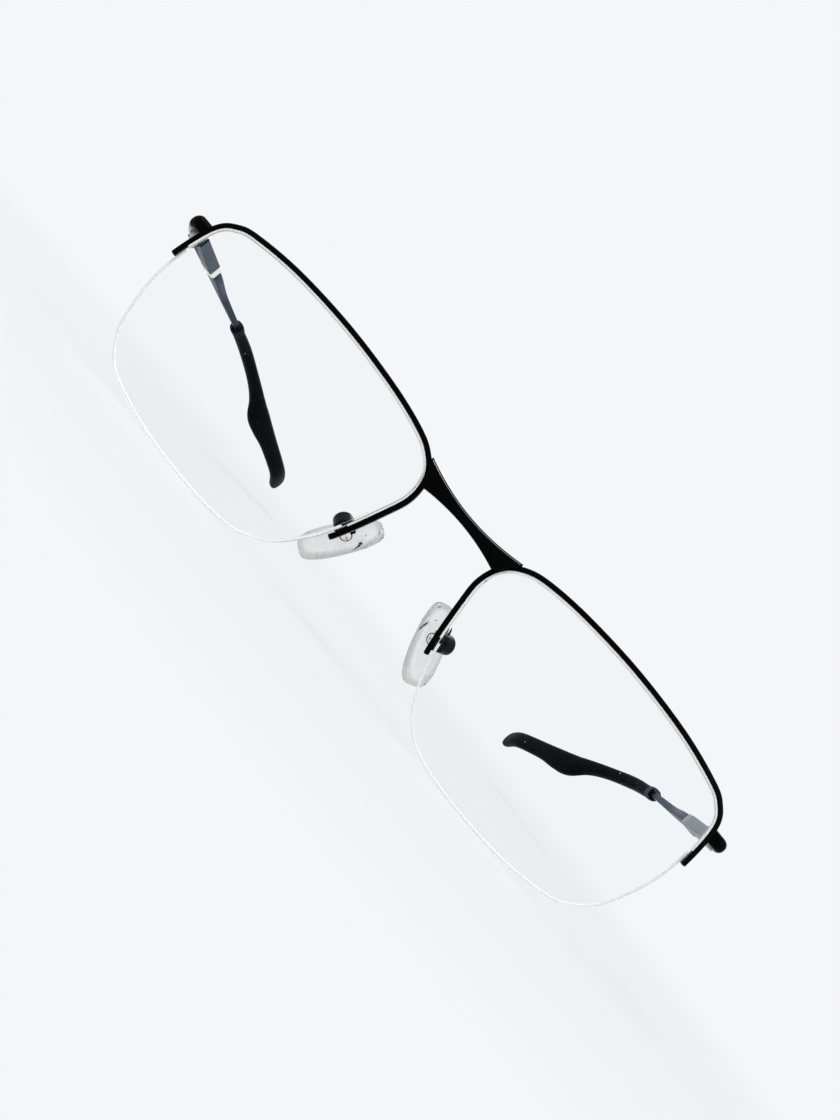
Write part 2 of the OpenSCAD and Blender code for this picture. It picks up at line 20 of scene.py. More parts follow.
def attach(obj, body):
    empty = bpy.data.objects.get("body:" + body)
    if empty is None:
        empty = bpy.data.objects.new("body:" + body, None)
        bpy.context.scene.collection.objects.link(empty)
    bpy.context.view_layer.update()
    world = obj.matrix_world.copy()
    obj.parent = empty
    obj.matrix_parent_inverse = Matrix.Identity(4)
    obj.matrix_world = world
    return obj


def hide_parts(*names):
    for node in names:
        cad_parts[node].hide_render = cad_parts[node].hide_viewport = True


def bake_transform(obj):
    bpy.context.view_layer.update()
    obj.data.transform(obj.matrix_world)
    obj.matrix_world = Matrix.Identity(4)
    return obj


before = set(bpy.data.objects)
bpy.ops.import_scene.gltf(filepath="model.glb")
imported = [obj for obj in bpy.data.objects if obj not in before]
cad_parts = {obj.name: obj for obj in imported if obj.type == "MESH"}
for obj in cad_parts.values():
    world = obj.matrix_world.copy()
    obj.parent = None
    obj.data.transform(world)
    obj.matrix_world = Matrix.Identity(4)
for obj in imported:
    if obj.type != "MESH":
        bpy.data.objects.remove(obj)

logging.basicConfig(level=logging.INFO, format="%(name)s: %(message)s")
log = logging.getLogger("glasses")

Form = tuple[np.ndarray, list]
Colour = tuple[float, float, float]
Tree = bpy.types.NodeTree
Node = bpy.types.Node
Socket = bpy.types.NodeSocket

MM = 0.001
MICRON = 0.000001
TINY = 1e-12
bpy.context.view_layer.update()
BRIDGE_HEIGHT = 13.3 * MM
PALE = (0.9047, 0.9216, 0.9387)
ACROSS = np.array([1.0, 0.0, 0.0])
BACK = np.array([0.0, 1.0, 0.0])
UP = np.array([0.0, 0.0, 1.0])


class Side(Enum):
    """The wearer's side a piece belongs to; the value is the sign of its X."""

    LEFT = 1
    RIGHT = -1

    @property
    def word(self) -> str:
        """The side's word as node and body names end in it."""
        return self.name.lower()


class Facing(Enum):
    """How the faces of a finished mesh are shaded: the angle in degrees that stays sharp."""

    SMOOTH = 180.0
    CREASED = 38.0
    CRISP = 25.0


# Small tools of geometry


def unit(v: np.ndarray) -> np.ndarray:
    """Vectors along the last axis, each divided by its length."""
    return v / np.maximum(np.linalg.norm(v, axis=-1, keepdims=True), TINY)


def turn_about(axis: int, angle: float) -> np.ndarray:
    """Matrix that turns a column by angle radians about axis 0, 1 or 2, by the right-hand rule."""
    a, b = (axis + 1) % 3, (axis + 2) % 3
    made = np.eye(3)
    made[a, a] = made[b, b] = math.cos(angle)
    made[b, a] = math.sin(angle)
    made[a, b] = -made[b, a]
    return made


def smooth_curve(points: np.ndarray, steps: int, closed: bool = False) -> np.ndarray:
    """Catmull-Rom curve: each span is a cubic through its ends, aimed by the points beside them.

    Args:
        points: one row for each point the curve passes through.
        steps: samples to each span.
        closed: whether the last point joins the first.

    Returns:
        The sampled points, with the last point added on an open curve.
    """
    n = len(points)
    spans = np.arange(n if closed else n - 1)

    def at(offset: int) -> np.ndarray:
        """Points shifted along the list, wrapped round or held at its ends."""
        index = spans + offset
        return points[index % n] if closed else points[np.clip(index, 0, n - 1)]

    a, b, c, d = (at(k)[:, None, :] for k in (-1, 0, 1, 2))
    t = (np.arange(steps) / steps)[None, :, None]
    rows = 0.5 * (2 * b + (c - a) * t + (2 * a - 5 * b + 4 * c - d) * t**2
                  + (3 * b - a - 3 * c + d) * t**3)
    rows = rows.reshape(-1, points.shape[1])
    return rows if closed else np.vstack([rows, points[-1:]])


def superellipse(count: int, power: float = 1.0) -> np.ndarray:
    """Unit closed section: x and z are the cosine and sine of an even turn, each to a power.

    Args:
        count: points round the section.
        power: 1 gives a circle, and less gives flatter sides with rounder corners.

    Returns:
        An array of count rows of two shares, from -1 to 1.
    """
    a = np.linspace(0, 2 * np.pi, count, endpoint=False)
    turn = np.stack([np.cos(a), np.sin(a)], axis=1)
    return np.sign(turn) * np.abs(turn) ** power


def rounded_bar(radius: float, half_w: float, half_h: float, corner_steps: int = 4) -> np.ndarray:
    """Rectangle of half sizes half_w and half_h whose corners are quarter circles of radius.

    Returns:
        Points in order, counter-clockwise, four corners of corner_steps + 1 points.
    """
    turn = np.linspace(0, np.pi / 2, corner_steps + 1)
    corners = []
    for k, (sx, sz) in enumerate([(1, 1), (-1, 1), (-1, -1), (1, -1)]):
        a = turn + k * np.pi / 2
        centre = np.array([sx * (half_w - radius), sz * (half_h - radius)])
        corners.append(centre + radius * np.stack([np.cos(a), np.sin(a)], axis=1))
    return np.vstack(corners)


def round_y(angle: np.ndarray, radius: float = 1.0, y: np.ndarray | float = 0.0) -> np.ndarray:
    """Points on a circle about the Y axis: x is radius times cosine, and z radius times sine."""
    parts = np.broadcast_arrays(radius * np.cos(angle), y, radius * np.sin(angle))
    return np.stack(parts, axis=-1)


def split_sides(section: np.ndarray, parts: int) -> np.ndarray:
    """A closed section with each of its sides cut into equal parts."""
    t = (np.arange(parts) / parts)[None, :, None]
    step = np.roll(section, -1, axis=0) - section
    return (section[:, None] + t * step[:, None]).reshape(-1, 2)


def ease(value: np.ndarray, low: float, high: float) -> np.ndarray:
    """Smooth step: 0 up to low, 1 from high on, and 3t^2 - 2t^3 between."""
    t = np.clip((value - low) / (high - low), 0, 1)
    return t * t * (3 - 2 * t)


def loft(rings: np.ndarray, closed_path: bool = False) -> Form:
    """Surface through rings of equal counts of points, with a flat fan at each open end.

    Args:
        rings: array of rings by points by 3.
        closed_path: whether the last ring joins the first.

    Returns:
        The points and the faces, which point outwards when each ring turns counter-clockwise
        seen against the path's direction.
    """
    m, n = rings.shape[:2]
    ids = np.arange(m * n).reshape(m, n)
    nxt = np.roll(ids, -1, axis=1)
    if closed_path:
        after, after_nxt = np.roll(ids, -1, axis=0), np.roll(nxt, -1, axis=0)
    else:
        ids, after, nxt, after_nxt = ids[:-1], ids[1:], nxt[:-1], nxt[1:]
    faces = np.stack([ids, nxt, after_nxt, after], axis=-1).reshape(-1, 4).tolist()
    if not closed_path:
        faces += [list(range(n))[::-1], list(range((m - 1) * n, m * n))]
    return rings.reshape(-1, 3), faces


def section_rings(
    path: np.ndarray, across: np.ndarray, up: np.ndarray, section: np.ndarray
) -> np.ndarray:
    """Rings of a sweep: each path point plus the section's shares of its across and up vectors.

    Args:
        path: rows of points.
        across: one vector a path point, already at the section's half width.
        up: one vector a path point, already at the section's half height.
        section: rows of two shares.

    Returns:
        Array of rings by points by 3.
    """
    return path[:, None] + section[:, :1] * across[:, None] + section[:, 1:] * up[:, None]


def swept(path: np.ndarray, across: np.ndarray, up: np.ndarray, section: np.ndarray) -> Form:
    """Closed sweep whose across, path and up directions are right-handed in this order."""
    return loft(section_rings(path, across, up, section)[:, ::-1])


def frames_from(path: np.ndarray, up: np.ndarray) -> tuple[np.ndarray, np.ndarray]:
    """Across and up unit vectors square to an open path, with up nearest the direction given."""
    t = unit(np.gradient(path, axis=0))
    across = unit(np.cross(t, up))
    return across, np.cross(across, t)


def tube(path: np.ndarray, radius: float, up: np.ndarray, sides: int = 16) -> Form:
    """Round tube of one radius along an open path."""
    across, lift = frames_from(path, up)
    return swept(path, across * radius, lift * radius, superellipse(sides))


def close_ends(rings: np.ndarray, run: float, steps: int = 5) -> np.ndarray:
    """Rounds both ends of a row of rings: each end grows a quarter-ellipse cap of length run.

    The added rings shrink towards the end's middle as the cosine of an even quarter turn, and
    move outwards as its sine times run. The last stops just short of the quarter.
    """
    last = 0.97
    a = np.linspace(0, np.pi / 2, steps + 1)[1:]
    a[-1] = np.pi / 2 * last

    def cap(ring: np.ndarray, inner: np.ndarray) -> np.ndarray:
        """The shrinking rings beyond one end ring."""
        middle = ring.mean(0)
        out = unit(middle - inner.mean(0))
        return middle + np.cos(a)[:, None, None] * (ring - middle) + (
            np.sin(a)[:, None, None] * run * out)

    return np.concatenate([cap(rings[0], rings[1])[::-1], rings, cap(rings[-1], rings[-2])])


def join(*parts: Form) -> Form:
    """Points and faces of several closed forms as one mesh."""
    verts, faces, start = [], [], 0
    for points, rows in parts:
        verts.append(points)
        faces += [[k + start for k in row] for row in rows]
        start += len(points)
    return np.vstack(verts), faces


def slotted_screw(head: float, lift: float, slot: float, shank: float, length: float) -> Form:
    """Cheese-head screw along Z: shank below zero, head above it, a slot across the head.

    The head is a disc of half the head's height under two half discs that leave the slot open.
    Each half disc is bounded by its arc, x = cos, y = sin of an even turn, and its chord.

    Args:
        head: the head's radius.
        lift: the head's height.
        slot: the slot's width.
        shank: the shank's radius.
        length: the shank's length.

    Returns:
        The points and faces.
    """
    circle = superellipse(40)[::-1]
    bevel, step, overlap = 0.12 * head, 0.45 * lift, 0.01 * MM

    def cylinder(radius: float, low: float, high: float) -> Form:
        """Round form of one radius between two heights."""
        rings = [np.column_stack([radius * circle, np.full(len(circle), z)]) for z in (low, high)]
        return loft(np.array(rings)[:, ::-1])

    def half(sign: float) -> Form:
        """Half disc on one side of the slot, its upper edge bevelled."""
        first = math.asin(slot / 2 / head)
        a = np.linspace(first, np.pi - first, 24)
        rings = []
        for r, z in ((head, step), (head, lift - bevel), (head - bevel, lift)):
            flat = np.stack([np.cos(a) * r, np.maximum(np.sin(a) * r, slot / 2)], axis=1) * sign
            rings.append(np.column_stack([flat, np.full(len(a), z)]))
        return loft(np.array(rings))

    return join(cylinder(shank, -length, overlap), cylinder(head, 0.0, 0.46 * lift),
                half(1.0), half(-1.0))


# Pieces


def keep_mask(made: bpy.types.Object, name: str, share: np.ndarray) -> None:
    """Keeps one share from 0 to 1 for each point of a piece, for its material to read."""
    made.data.attributes.new(name, "FLOAT", "POINT").data.foreach_set("value", share.ravel())


def add_piece(
    name: str,
    form: Form,
    side: Side | None,
    finish: "Finish",
    body: str | None,
    node: str | None = None,
    facing: Facing = Facing.CREASED,
) -> bpy.types.Object:
    """Makes one object at the origin from a form given for the wearer's left, on a body.

    Args:
        name: the piece's name; a side adds its word to it, to the node and to the body.
        form: the points, and rows of point numbers, turned so that faces point outwards.
        side: RIGHT mirrors the points through X and turns each face round.
        finish: the finish whose material the piece gets.
        body: the body it rides on; "front" takes no word, and None leaves it to the caller.
        node: the CAD node it stands for, if it does.
        facing: how its faces are shaded.

    Returns:
        The new object, in the scene.
    """
    tail = f"_{side.word}" if side else ""
    points, rows = form
    if side is Side.RIGHT:
        points = points * np.array([-1.0, 1.0, 1.0])
        rows = [f[::-1] for f in rows]
    mesh = bpy.data.meshes.new(name + tail)
    mesh.from_pydata(points.tolist(), [], rows)
    mesh.validate()
    mesh.polygons.foreach_set("use_smooth", [True] * len(mesh.polygons))
    if facing is not Facing.SMOOTH:
        mesh.set_sharp_from_angle(angle=math.radians(facing.value))
    mesh.materials.append(finish.material())
    made = bpy.data.objects.new(name + tail, mesh)
    bpy.context.scene.collection.objects.link(made)
    if body:
        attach(made, body if body == "front" else body + tail)
    if node:
        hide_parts(node + tail)
    log.info("%s made, %d faces", made.name, len(mesh.polygons))
    return made


# Nodes of materials


def feed(tree: Tree, node: Node, values: dict) -> Node:
    """Feeds a node's inputs by name or number, each from a socket or with a plain value."""
    for label, value in values.items():
        if isinstance(value, Socket):
            tree.links.new(value, node.inputs[label])
        else:
            node.inputs[label].default_value = value
    return node


def add_node(tree: Tree, kind: str, values: dict | None = None, **options: object) -> Node:
    """A node of one kind with its own settings made first and its inputs fed after them."""
    node = tree.nodes.new(kind)
    for label, value in options.items():
        setattr(node, label, value)
    return feed(tree, node, values or {})


def maths(tree: Tree, operation: str, a: object, b: object) -> Socket:
    """One Math node's output; a and b are sockets or numbers."""
    return add_node(tree, "ShaderNodeMath", {0: a, 1: b}, operation=operation).outputs[0]


def spread(tree: Tree, value: Socket, low: float, high: float, start: float = 0.0,
           end: float = 1.0, smooth: bool = False) -> Socket:
    """Maps a value from start and end to low and high, in a line or as a smooth step."""
    kind = "SMOOTHSTEP" if smooth else "LINEAR"
    ends = {"Value": value, "From Min": start, "From Max": end, "To Min": low, "To Max": high}
    node = add_node(tree, "ShaderNodeMapRange", ends, interpolation_type=kind)
    return node.outputs["Result"]


def blend(tree: Tree, mask: Socket, low: object, high: object) -> Socket:
    """Mixes two colours by a mask; each is a socket or three values."""
    a, b = (c if isinstance(c, Socket) else (*c, 1.0) for c in (low, high))
    return add_node(tree, "ShaderNodeMix", {0: mask, 6: a, 7: b}, data_type="RGBA").outputs[2]


def mixed(tree: Tree, share: Socket, first: Node, second: Node) -> Socket:
    """Mixes two shaders by a share."""
    ends = {0: share, 1: first.outputs[0], 2: second.outputs[0]}
    return add_node(tree, "ShaderNodeMixShader", ends).outputs[0]


def effect(tree: Tree, group: Tree, **values: float) -> object:
    """Outputs of a shared effect that is placed in a material with its own values."""
    named = {label.replace("_", " "): value for label, value in values.items()}
    return add_node(tree, "ShaderNodeGroup", named, node_tree=group).outputs


def bump(tree: Tree, shader: Node, height: Socket, depth: float) -> None:
    """Feeds a height through a Bump node into the shader's normal; depth is in metres."""
    node = add_node(tree, "ShaderNodeBump", {"Distance": depth, "Strength": 1.0, "Height": height})
    feed(tree, shader, {"Normal": node.outputs["Normal"]})


def kept_mask(tree: Tree, name: str) -> Socket:
    """A mask kept on the mesh; it is 0 on a piece that has none."""
    return add_node(tree, "ShaderNodeAttribute", attribute_name=name).outputs["Fac"]


def turned(tree: Tree, start: float) -> Socket:
    """A mask that goes smoothly to 1 where the surface turns away from the eye, from start on."""
    weight = add_node(tree, "ShaderNodeLayerWeight", {"Blend": 0.5})
    return spread(tree, weight.outputs["Facing"], 0.0, 1.0, start, 0.95, smooth=True)


def seen_by_eye(tree: Tree) -> Socket:
    """A socket that is 1 for rays from the camera, in gloss or through glass, and else 0."""
    path = add_node(tree, "ShaderNodeLightPath").outputs
    glossy = maths(tree, "MAXIMUM", path["Is Camera Ray"], path["Is Glossy Ray"])
    return maths(tree, "MAXIMUM", glossy, path["Is Transmission Ray"])


def new_group(name: str, inputs: dict[str, float], outputs: tuple[str, ...]) -> tuple:
    """A shader node group with named number sockets.

    Args:
        name: the group's name.
        inputs: socket name to its default.
        outputs: socket names.

    Returns:
        The group, its input node's sockets and its output node.
    """
    group = bpy.data.node_groups.new(name, "ShaderNodeTree")
    kind = "NodeSocketFloat"
    for label, default in inputs.items():
        socket = group.interface.new_socket(label, in_out="INPUT", socket_type=kind)
        socket.default_value = default
    for label in outputs:
        group.interface.new_socket(label, in_out="OUTPUT", socket_type=kind)
    enter, leave = group.nodes.new("NodeGroupInput"), group.nodes.new("NodeGroupOutput")
    return group, enter.outputs, leave


class SharedEffects:
    """Node groups that several finishes use, each built the first time it is asked for."""

    @staticmethod
    @cache
    def grain() -> Tree:
        """Fine lacquer or moulding grain: a height for a Bump node and a mask of soft patches."""
        scales = {"Grain Scale": 4000.0, "Patch Scale": 300.0}
        group, enter, leave = new_group("fine_grain", scales, ("Height", "Patches"))
        place = add_node(group, "ShaderNodeTexCoord").outputs["Object"]
        noises = (("Height", "Grain Scale", 4.0), ("Patches", "Patch Scale", 2.0))
        for label, scale, detail in noises:
            noise = add_node(group, "ShaderNodeTexNoise",
                             {"Detail": detail, "Vector": place, "Scale": enter[scale]})
            feed(group, leave, {label: noise.outputs["Fac"]})
        return group

    @staticmethod
    @cache
    def specks() -> Tree:
        """Dust: a mask that is 1 on few small round specks and 0 elsewhere."""
        speck_size = 0.16
        group, enter, leave = new_group("dust_specks", {"Scale": 700.0, "Amount": 0.06}, ("Mask",))
        place = add_node(group, "ShaderNodeTexCoord").outputs["Object"]
        cells = add_node(group, "ShaderNodeTexVoronoi", {"Vector": place, "Scale": enter["Scale"]})
        pick = add_node(group, "ShaderNodeSeparateColor", {"Color": cells.outputs["Color"]})
        chosen = maths(group, "LESS_THAN", pick.outputs[0], enter["Amount"])
        small = maths(group, "LESS_THAN", cells.outputs["Distance"], speck_size)
        feed(group, leave, {"Mask": maths(group, "MULTIPLY", chosen, small)})
        return group

    @staticmethod
    @cache
    def brushing() -> Tree:
        """Fine scratches that run along the temple: noise drawn out along Y, as a height."""
        group, enter, leave = new_group("brushing", {"Across": 5000.0, "Along": 120.0}, ("Height",))
        place = add_node(group, "ShaderNodeTexCoord").outputs["Object"]
        scale = add_node(group, "ShaderNodeCombineXYZ",
                         {"X": enter["Across"], "Y": enter["Along"], "Z": enter["Across"]})
        stretch = add_node(group, "ShaderNodeVectorMath", {0: place, 1: scale.outputs[0]},
                           operation="MULTIPLY")
        noise = add_node(group, "ShaderNodeTexNoise",
                         {"Scale": 1.0, "Detail": 3.0, "Vector": stretch.outputs[0]})
        feed(group, leave, {"Height": noise.outputs["Fac"]})
        return group


# Finishes


@dataclass(frozen=True)
class Finish:
    """A surface finish: its slot in the record and the plain values of its shader.

    glance tints the gloss: straight on for plastic and clear pieces, and at the edge for metal.
    edge is a painted shade: the colour it takes where its surface turns away from the eye, from a
    facing value of edge_from on.
    """

    name: str
    slot: str
    colour: Colour
    roughness: float
    metallic: float = 0.0
    specular: float = 0.5
    glance: Colour = (1.0, 1.0, 1.0)
    edge: Colour | None = None
    edge_from: float = 0.35

    def material(self) -> bpy.types.Material:
        """The finish's material, made on first use."""
        made = bpy.data.materials.get(self.name)
        if made is None:
            made = bpy.data.materials.new(self.name)
            made.use_nodes = True
            tree = made.node_tree
            shader = feed(tree, tree.nodes["Principled BSDF"], {
                "Base Color": (*self.colour, 1.0), "Roughness": self.roughness,
                "Metallic": self.metallic, "Specular IOR Level": self.specular,
                "Specular Tint": (*self.glance, 1.0)})
            self._build(tree, shader)
        return made

    @staticmethod
    def _patches(tree: Tree, shader: Node, grain: float, patch: float, depth: float) -> Socket:
        """Feeds grain of a depth to the normal, and gives the mask of soft patches."""
        made = effect(tree, SharedEffects.grain(), Grain_Scale=grain, Patch_Scale=patch)
        bump(tree, shader, made["Height"], depth)
        return made["Patches"]

    def _build(self, tree: Tree, shader: Node) -> None:
        """Plain build: grain in the normal, soft patches in the roughness, and any painted edge
        shade in the colour.
        """
        patches = self._patches(tree, shader, 6000.0, 400.0, 2 * MICRON)
        low, high = self.roughness * 0.8, self.roughness * 1.25
        feed(tree, shader, {"Roughness": spread(tree, patches, low, high)})
        # Painted shade: the colour goes over to edge where the surface turns away from the eye.
        if self.edge:
            tone = blend(tree, turned(tree, self.edge_from), self.colour, self.edge)
            feed(tree, shader, {"Base Color": tone})


@dataclass(frozen=True)
class Lacquer(Finish):
    """Black lacquer on the front: near black, fine orange peel, a little dust, a painted highlight.

    Its painted highlight, a bare-metal grey, lies where its mesh keeps a mask for it, or else in
    front of the depth bare_to.
    """

    bare_to: float = 0.0
    bare: Colour = (0.4, 0.42, 0.45)
    dust: Colour = (0.03, 0.03, 0.034)

    def _build(self, tree: Tree, shader: Node) -> None:
        """Grain in the normal and roughness, and dust and the painted highlight in the colour."""
        patches = self._patches(tree, shader, 2500.0, 250.0, 4 * MICRON)
        specks = effect(tree, SharedEffects.specks(), Scale=900.0, Amount=0.03)
        # Painted highlight: bare-metal grey for the light on the lug's underside and the leaf's
        # front.
        if self.bare_to:
            place = add_node(tree, "ShaderNodeTexCoord").outputs["Object"]
            depth = add_node(tree, "ShaderNodeSeparateXYZ", {0: place}).outputs["Y"]
            worn = spread(tree, depth, 1.0, 0.0, self.bare_to, self.bare_to + 0.4 * MM)
        else:
            worn = kept_mask(tree, "worn")
        dusty = blend(tree, specks["Mask"], self.colour, self.dust)
        feed(tree, shader, {"Roughness": spread(tree, patches, 0.2, 0.36),
                            "Base Color": blend(tree, worn, dusty, self.bare), "Metallic": worn})


@dataclass(frozen=True)
class Plating(Finish):
    """Dark plating on the temples: brushed along their length, a little uneven in tone."""

    dark: Colour = (0.05, 0.06, 0.075)

    def _build(self, tree: Tree, shader: Node) -> None:
        """Scratches in the normal and roughness, and soft patches of the darker tone."""
        lines = effect(tree, SharedEffects.brushing(), Across=6000.0, Along=150.0)
        grain = effect(tree, SharedEffects.grain(), Grain_Scale=3000.0, Patch_Scale=220.0)
        bump(tree, shader, lines["Height"], 6 * MICRON)
        feed(tree, shader, {"Roughness": spread(tree, lines["Height"], 0.2, 0.42),
                            "Base Color": blend(tree, grain["Patches"], self.dark, self.colour)})


@dataclass(frozen=True)
class TipPlastic(Finish):
    """Satin black plastic with a painted blue-grey sheen in soft patches, and small pale specks."""

    # Painted sheen: a blue-grey tone laid in soft patches.
    bloom: Colour = (0.008, 0.011, 0.016)
    speck: Colour = (0.25, 0.27, 0.3)

    def _build(self, tree: Tree, shader: Node) -> None:
        """Grain in the normal and roughness, and the painted sheen and specks in the colour."""
        patches = self._patches(tree, shader, 3500.0, 160.0, 8 * MICRON)
        specks = effect(tree, SharedEffects.specks(), Scale=800.0, Amount=0.045)
        tone = blend(tree, patches, self.colour, self.bloom)
        feed(tree, shader, {"Roughness": spread(tree, patches, 0.28, 0.5),
                            "Base Color": blend(tree, specks["Mask"], tone, self.speck)})


@dataclass(frozen=True)
class Clear(Finish):
    """Clear material: it refracts what is seen, and lets lamp light through without a dark shadow.

    haze is the share of light that its shadow holds back. It takes the painted edge shade along
    the mask of painted border shade kept on its mesh too.
    """

    ior: float = 1.5
    haze: float = 0.1
    waviness: float = MICRON

    def _build(self, tree: Tree, shader: Node) -> None:
        """Waves in the normal, the painted edge shade, and a plain tint for shadow rays."""
        patches = self._patches(tree, shader, 500.0, 120.0, self.waviness)
        low, high = self.roughness * 0.7, self.roughness * 1.3
        # Painted shade: where the surface turns from the eye, and along the kept border mask.
        most = maths(tree, "MAXIMUM", turned(tree, self.edge_from), kept_mask(tree, "border"))
        feed(tree, shader, {"Transmission Weight": 1.0, "IOR": self.ior,
                            "Roughness": spread(tree, patches, low, high),
                            "Base Color": blend(tree, most, self.colour, self.edge)})
        light = add_node(tree, "ShaderNodeLightPath").outputs["Is Shadow Ray"]
        tint = (1 - self.haze, 1 - self.haze, 1 - 0.9 * self.haze, 1)
        through = add_node(tree, "ShaderNodeBsdfTransparent", {"Color": tint})
        feed(tree, tree.nodes["Material Output"], {"Surface": mixed(tree, light, shader, through)})


BLACK = Lacquer("black_lacquer", "black_metal", (0.001, 0.001, 0.0012), 0.28, specular=0.02)
# The hinge leaf takes the painted highlight in front of bare_to.
LEAF = Lacquer("leaf_lacquer", "black_metal", (0.001, 0.001, 0.0012), 0.28, specular=0.02,
               bare_to=11.4 * MM)
BOX = Lacquer("box_lacquer", "black_metal", (0.006, 0.0075, 0.011), 0.28, specular=0.06)
PLATED = Plating("dark_plating", "grey_metal", (0.055, 0.07, 0.088), 0.3, metallic=1.0,
                 glance=(0.5, 0.55, 0.62), dark=(0.022, 0.028, 0.036))
HOUSING = Plating("housing_plating", "grey_metal", (0.1, 0.115, 0.135), 0.3, metallic=1.0,
                  glance=(0.55, 0.59, 0.64), dark=(0.05, 0.058, 0.07))
POLISHED = Finish("polished_band", "screw_steel", (0.9, 0.87, 0.8), 0.22, metallic=1.0)
# Painted shade: a darker copy of the plating for the right arm.
PLATED_SHADED_RIGHT = Plating("dark_plating_right", "grey_metal", (0.046, 0.057, 0.07), 0.3,
                       metallic=1.0, glance=(0.44, 0.48, 0.54), dark=(0.02, 0.025, 0.032))
# Painted light: a lighter copy of the housing plating for the left housing.
HOUSING_LIT_LEFT = Plating("housing_plating_left", "grey_metal", (0.24, 0.26, 0.29), 0.3,
                       metallic=1.0, glance=(0.8, 0.82, 0.86), dark=(0.12, 0.13, 0.15))
DULLED = Finish("dulled_band", "screw_steel", (0.24, 0.27, 0.29), 0.35, metallic=1.0)
# Painted highlight: a bright metal tone for the strip on the bridge's top bevel.
EDGE_HIGHLIGHT = Finish("worn_edge", "black_metal", (0.24, 0.24, 0.245), 0.4, metallic=1.0)
STEEL = Finish("polished_steel", "screw_steel", (0.55, 0.56, 0.58), 0.18, metallic=1.0)
SPRING = Finish("spring_wire", "spring_steel", (0.42, 0.43, 0.45), 0.3, metallic=1.0)
BRASS = Finish("turned_brass", "brass", (0.6, 0.45, 0.2), 0.3, metallic=1.0)
LINER = Finish("liner_plastic", "liner", (0.93, 0.92, 0.88), 0.5)
# The edge colours of the cord, lens, core and pad are painted shade where they turn from the eye.
CORD = Finish("clear_cord", "nylon", (0.9, 0.895, 0.88), 0.4, specular=0.1,
              edge=(0.55, 0.555, 0.58), edge_from=0.3)
GLASS = Clear("demo_lens", "lens", (0.975, 0.98, 0.985), 0.0, glance=(0.0, 0.0, 0.0), ior=1.49,
              haze=0.07, waviness=0.0, edge=(0.8, 0.8, 0.81))
TIP = TipPlastic("satin_tip", "tip_plastic", (0.002, 0.0022, 0.0027), 0.42, specular=0.01,
                 bloom=(0.005, 0.007, 0.01))
# Painted light and shade: the left collar is a lighter copy, the right a darker one.
COLLAR_LIT_LEFT = TipPlastic("collar_left", "tip_plastic", (0.045, 0.06, 0.075), 0.42, specular=0.001,
                         bloom=(0.055, 0.075, 0.095))
COLLAR_SHADED_RIGHT = TipPlastic("collar_right", "tip_plastic", (0.014, 0.016, 0.02), 0.42,
                          specular=0.001, bloom=(0.02, 0.023, 0.03))
CORE = Clear("clear_core", "pad_core", (0.96, 0.965, 0.97), 0.06, ior=1.03, haze=0.2,
             waviness=0.0, edge=(0.86, 0.87, 0.88))
SILICONE = Clear("clear_silicone", "silicone", (0.84, 0.86, 0.87), 0.03, ior=1.41, haze=0.16,
                 waviness=3 * MICRON, edge=(0.52, 0.505, 0.475), edge_from=0.12)


@dataclass(frozen=True)
class TempleLook:
    """The finishes of one temple. The left housing and collar are painted lighter and the right
    arm and collar darker: painted light and shade, as the light falls more on the left temple.
    """

    arm: Finish
    housing: Finish
    band: Finish
    collar: Finish


# Painted light and shade: the left temple gets the lighter copies, the right the darker.
LOOKS = {Side.LEFT: TempleLook(PLATED, HOUSING_LIT_LEFT, DULLED, COLLAR_LIT_LEFT),
         Side.RIGHT: TempleLook(PLATED_SHADED_RIGHT, HOUSING, POLISHED, COLLAR_SHADED_RIGHT)}


# The front


LENS_POINTS = (
    (0.998, 0.255), (0.959, 0.672), (0.874, 0.829), (0.743, 0.901), (0.414, 0.975), (-0.029, 1),
    (-0.456, 0.966), (-0.739, 0.902), (-0.875, 0.826), (-0.965, 0.697), (-1, 0.492),
    (-0.971, 0.239), (-0.872, -0.286), (-0.743, -0.657), (-0.629, -0.827), (-0.456, -0.95),
    (-0.131, -0.998), (0.278, -0.98), (0.585, -0.901), (0.741, -0.81), (0.873, -0.607),
    (0.938, -0.375), (0.988, -0.073),
)


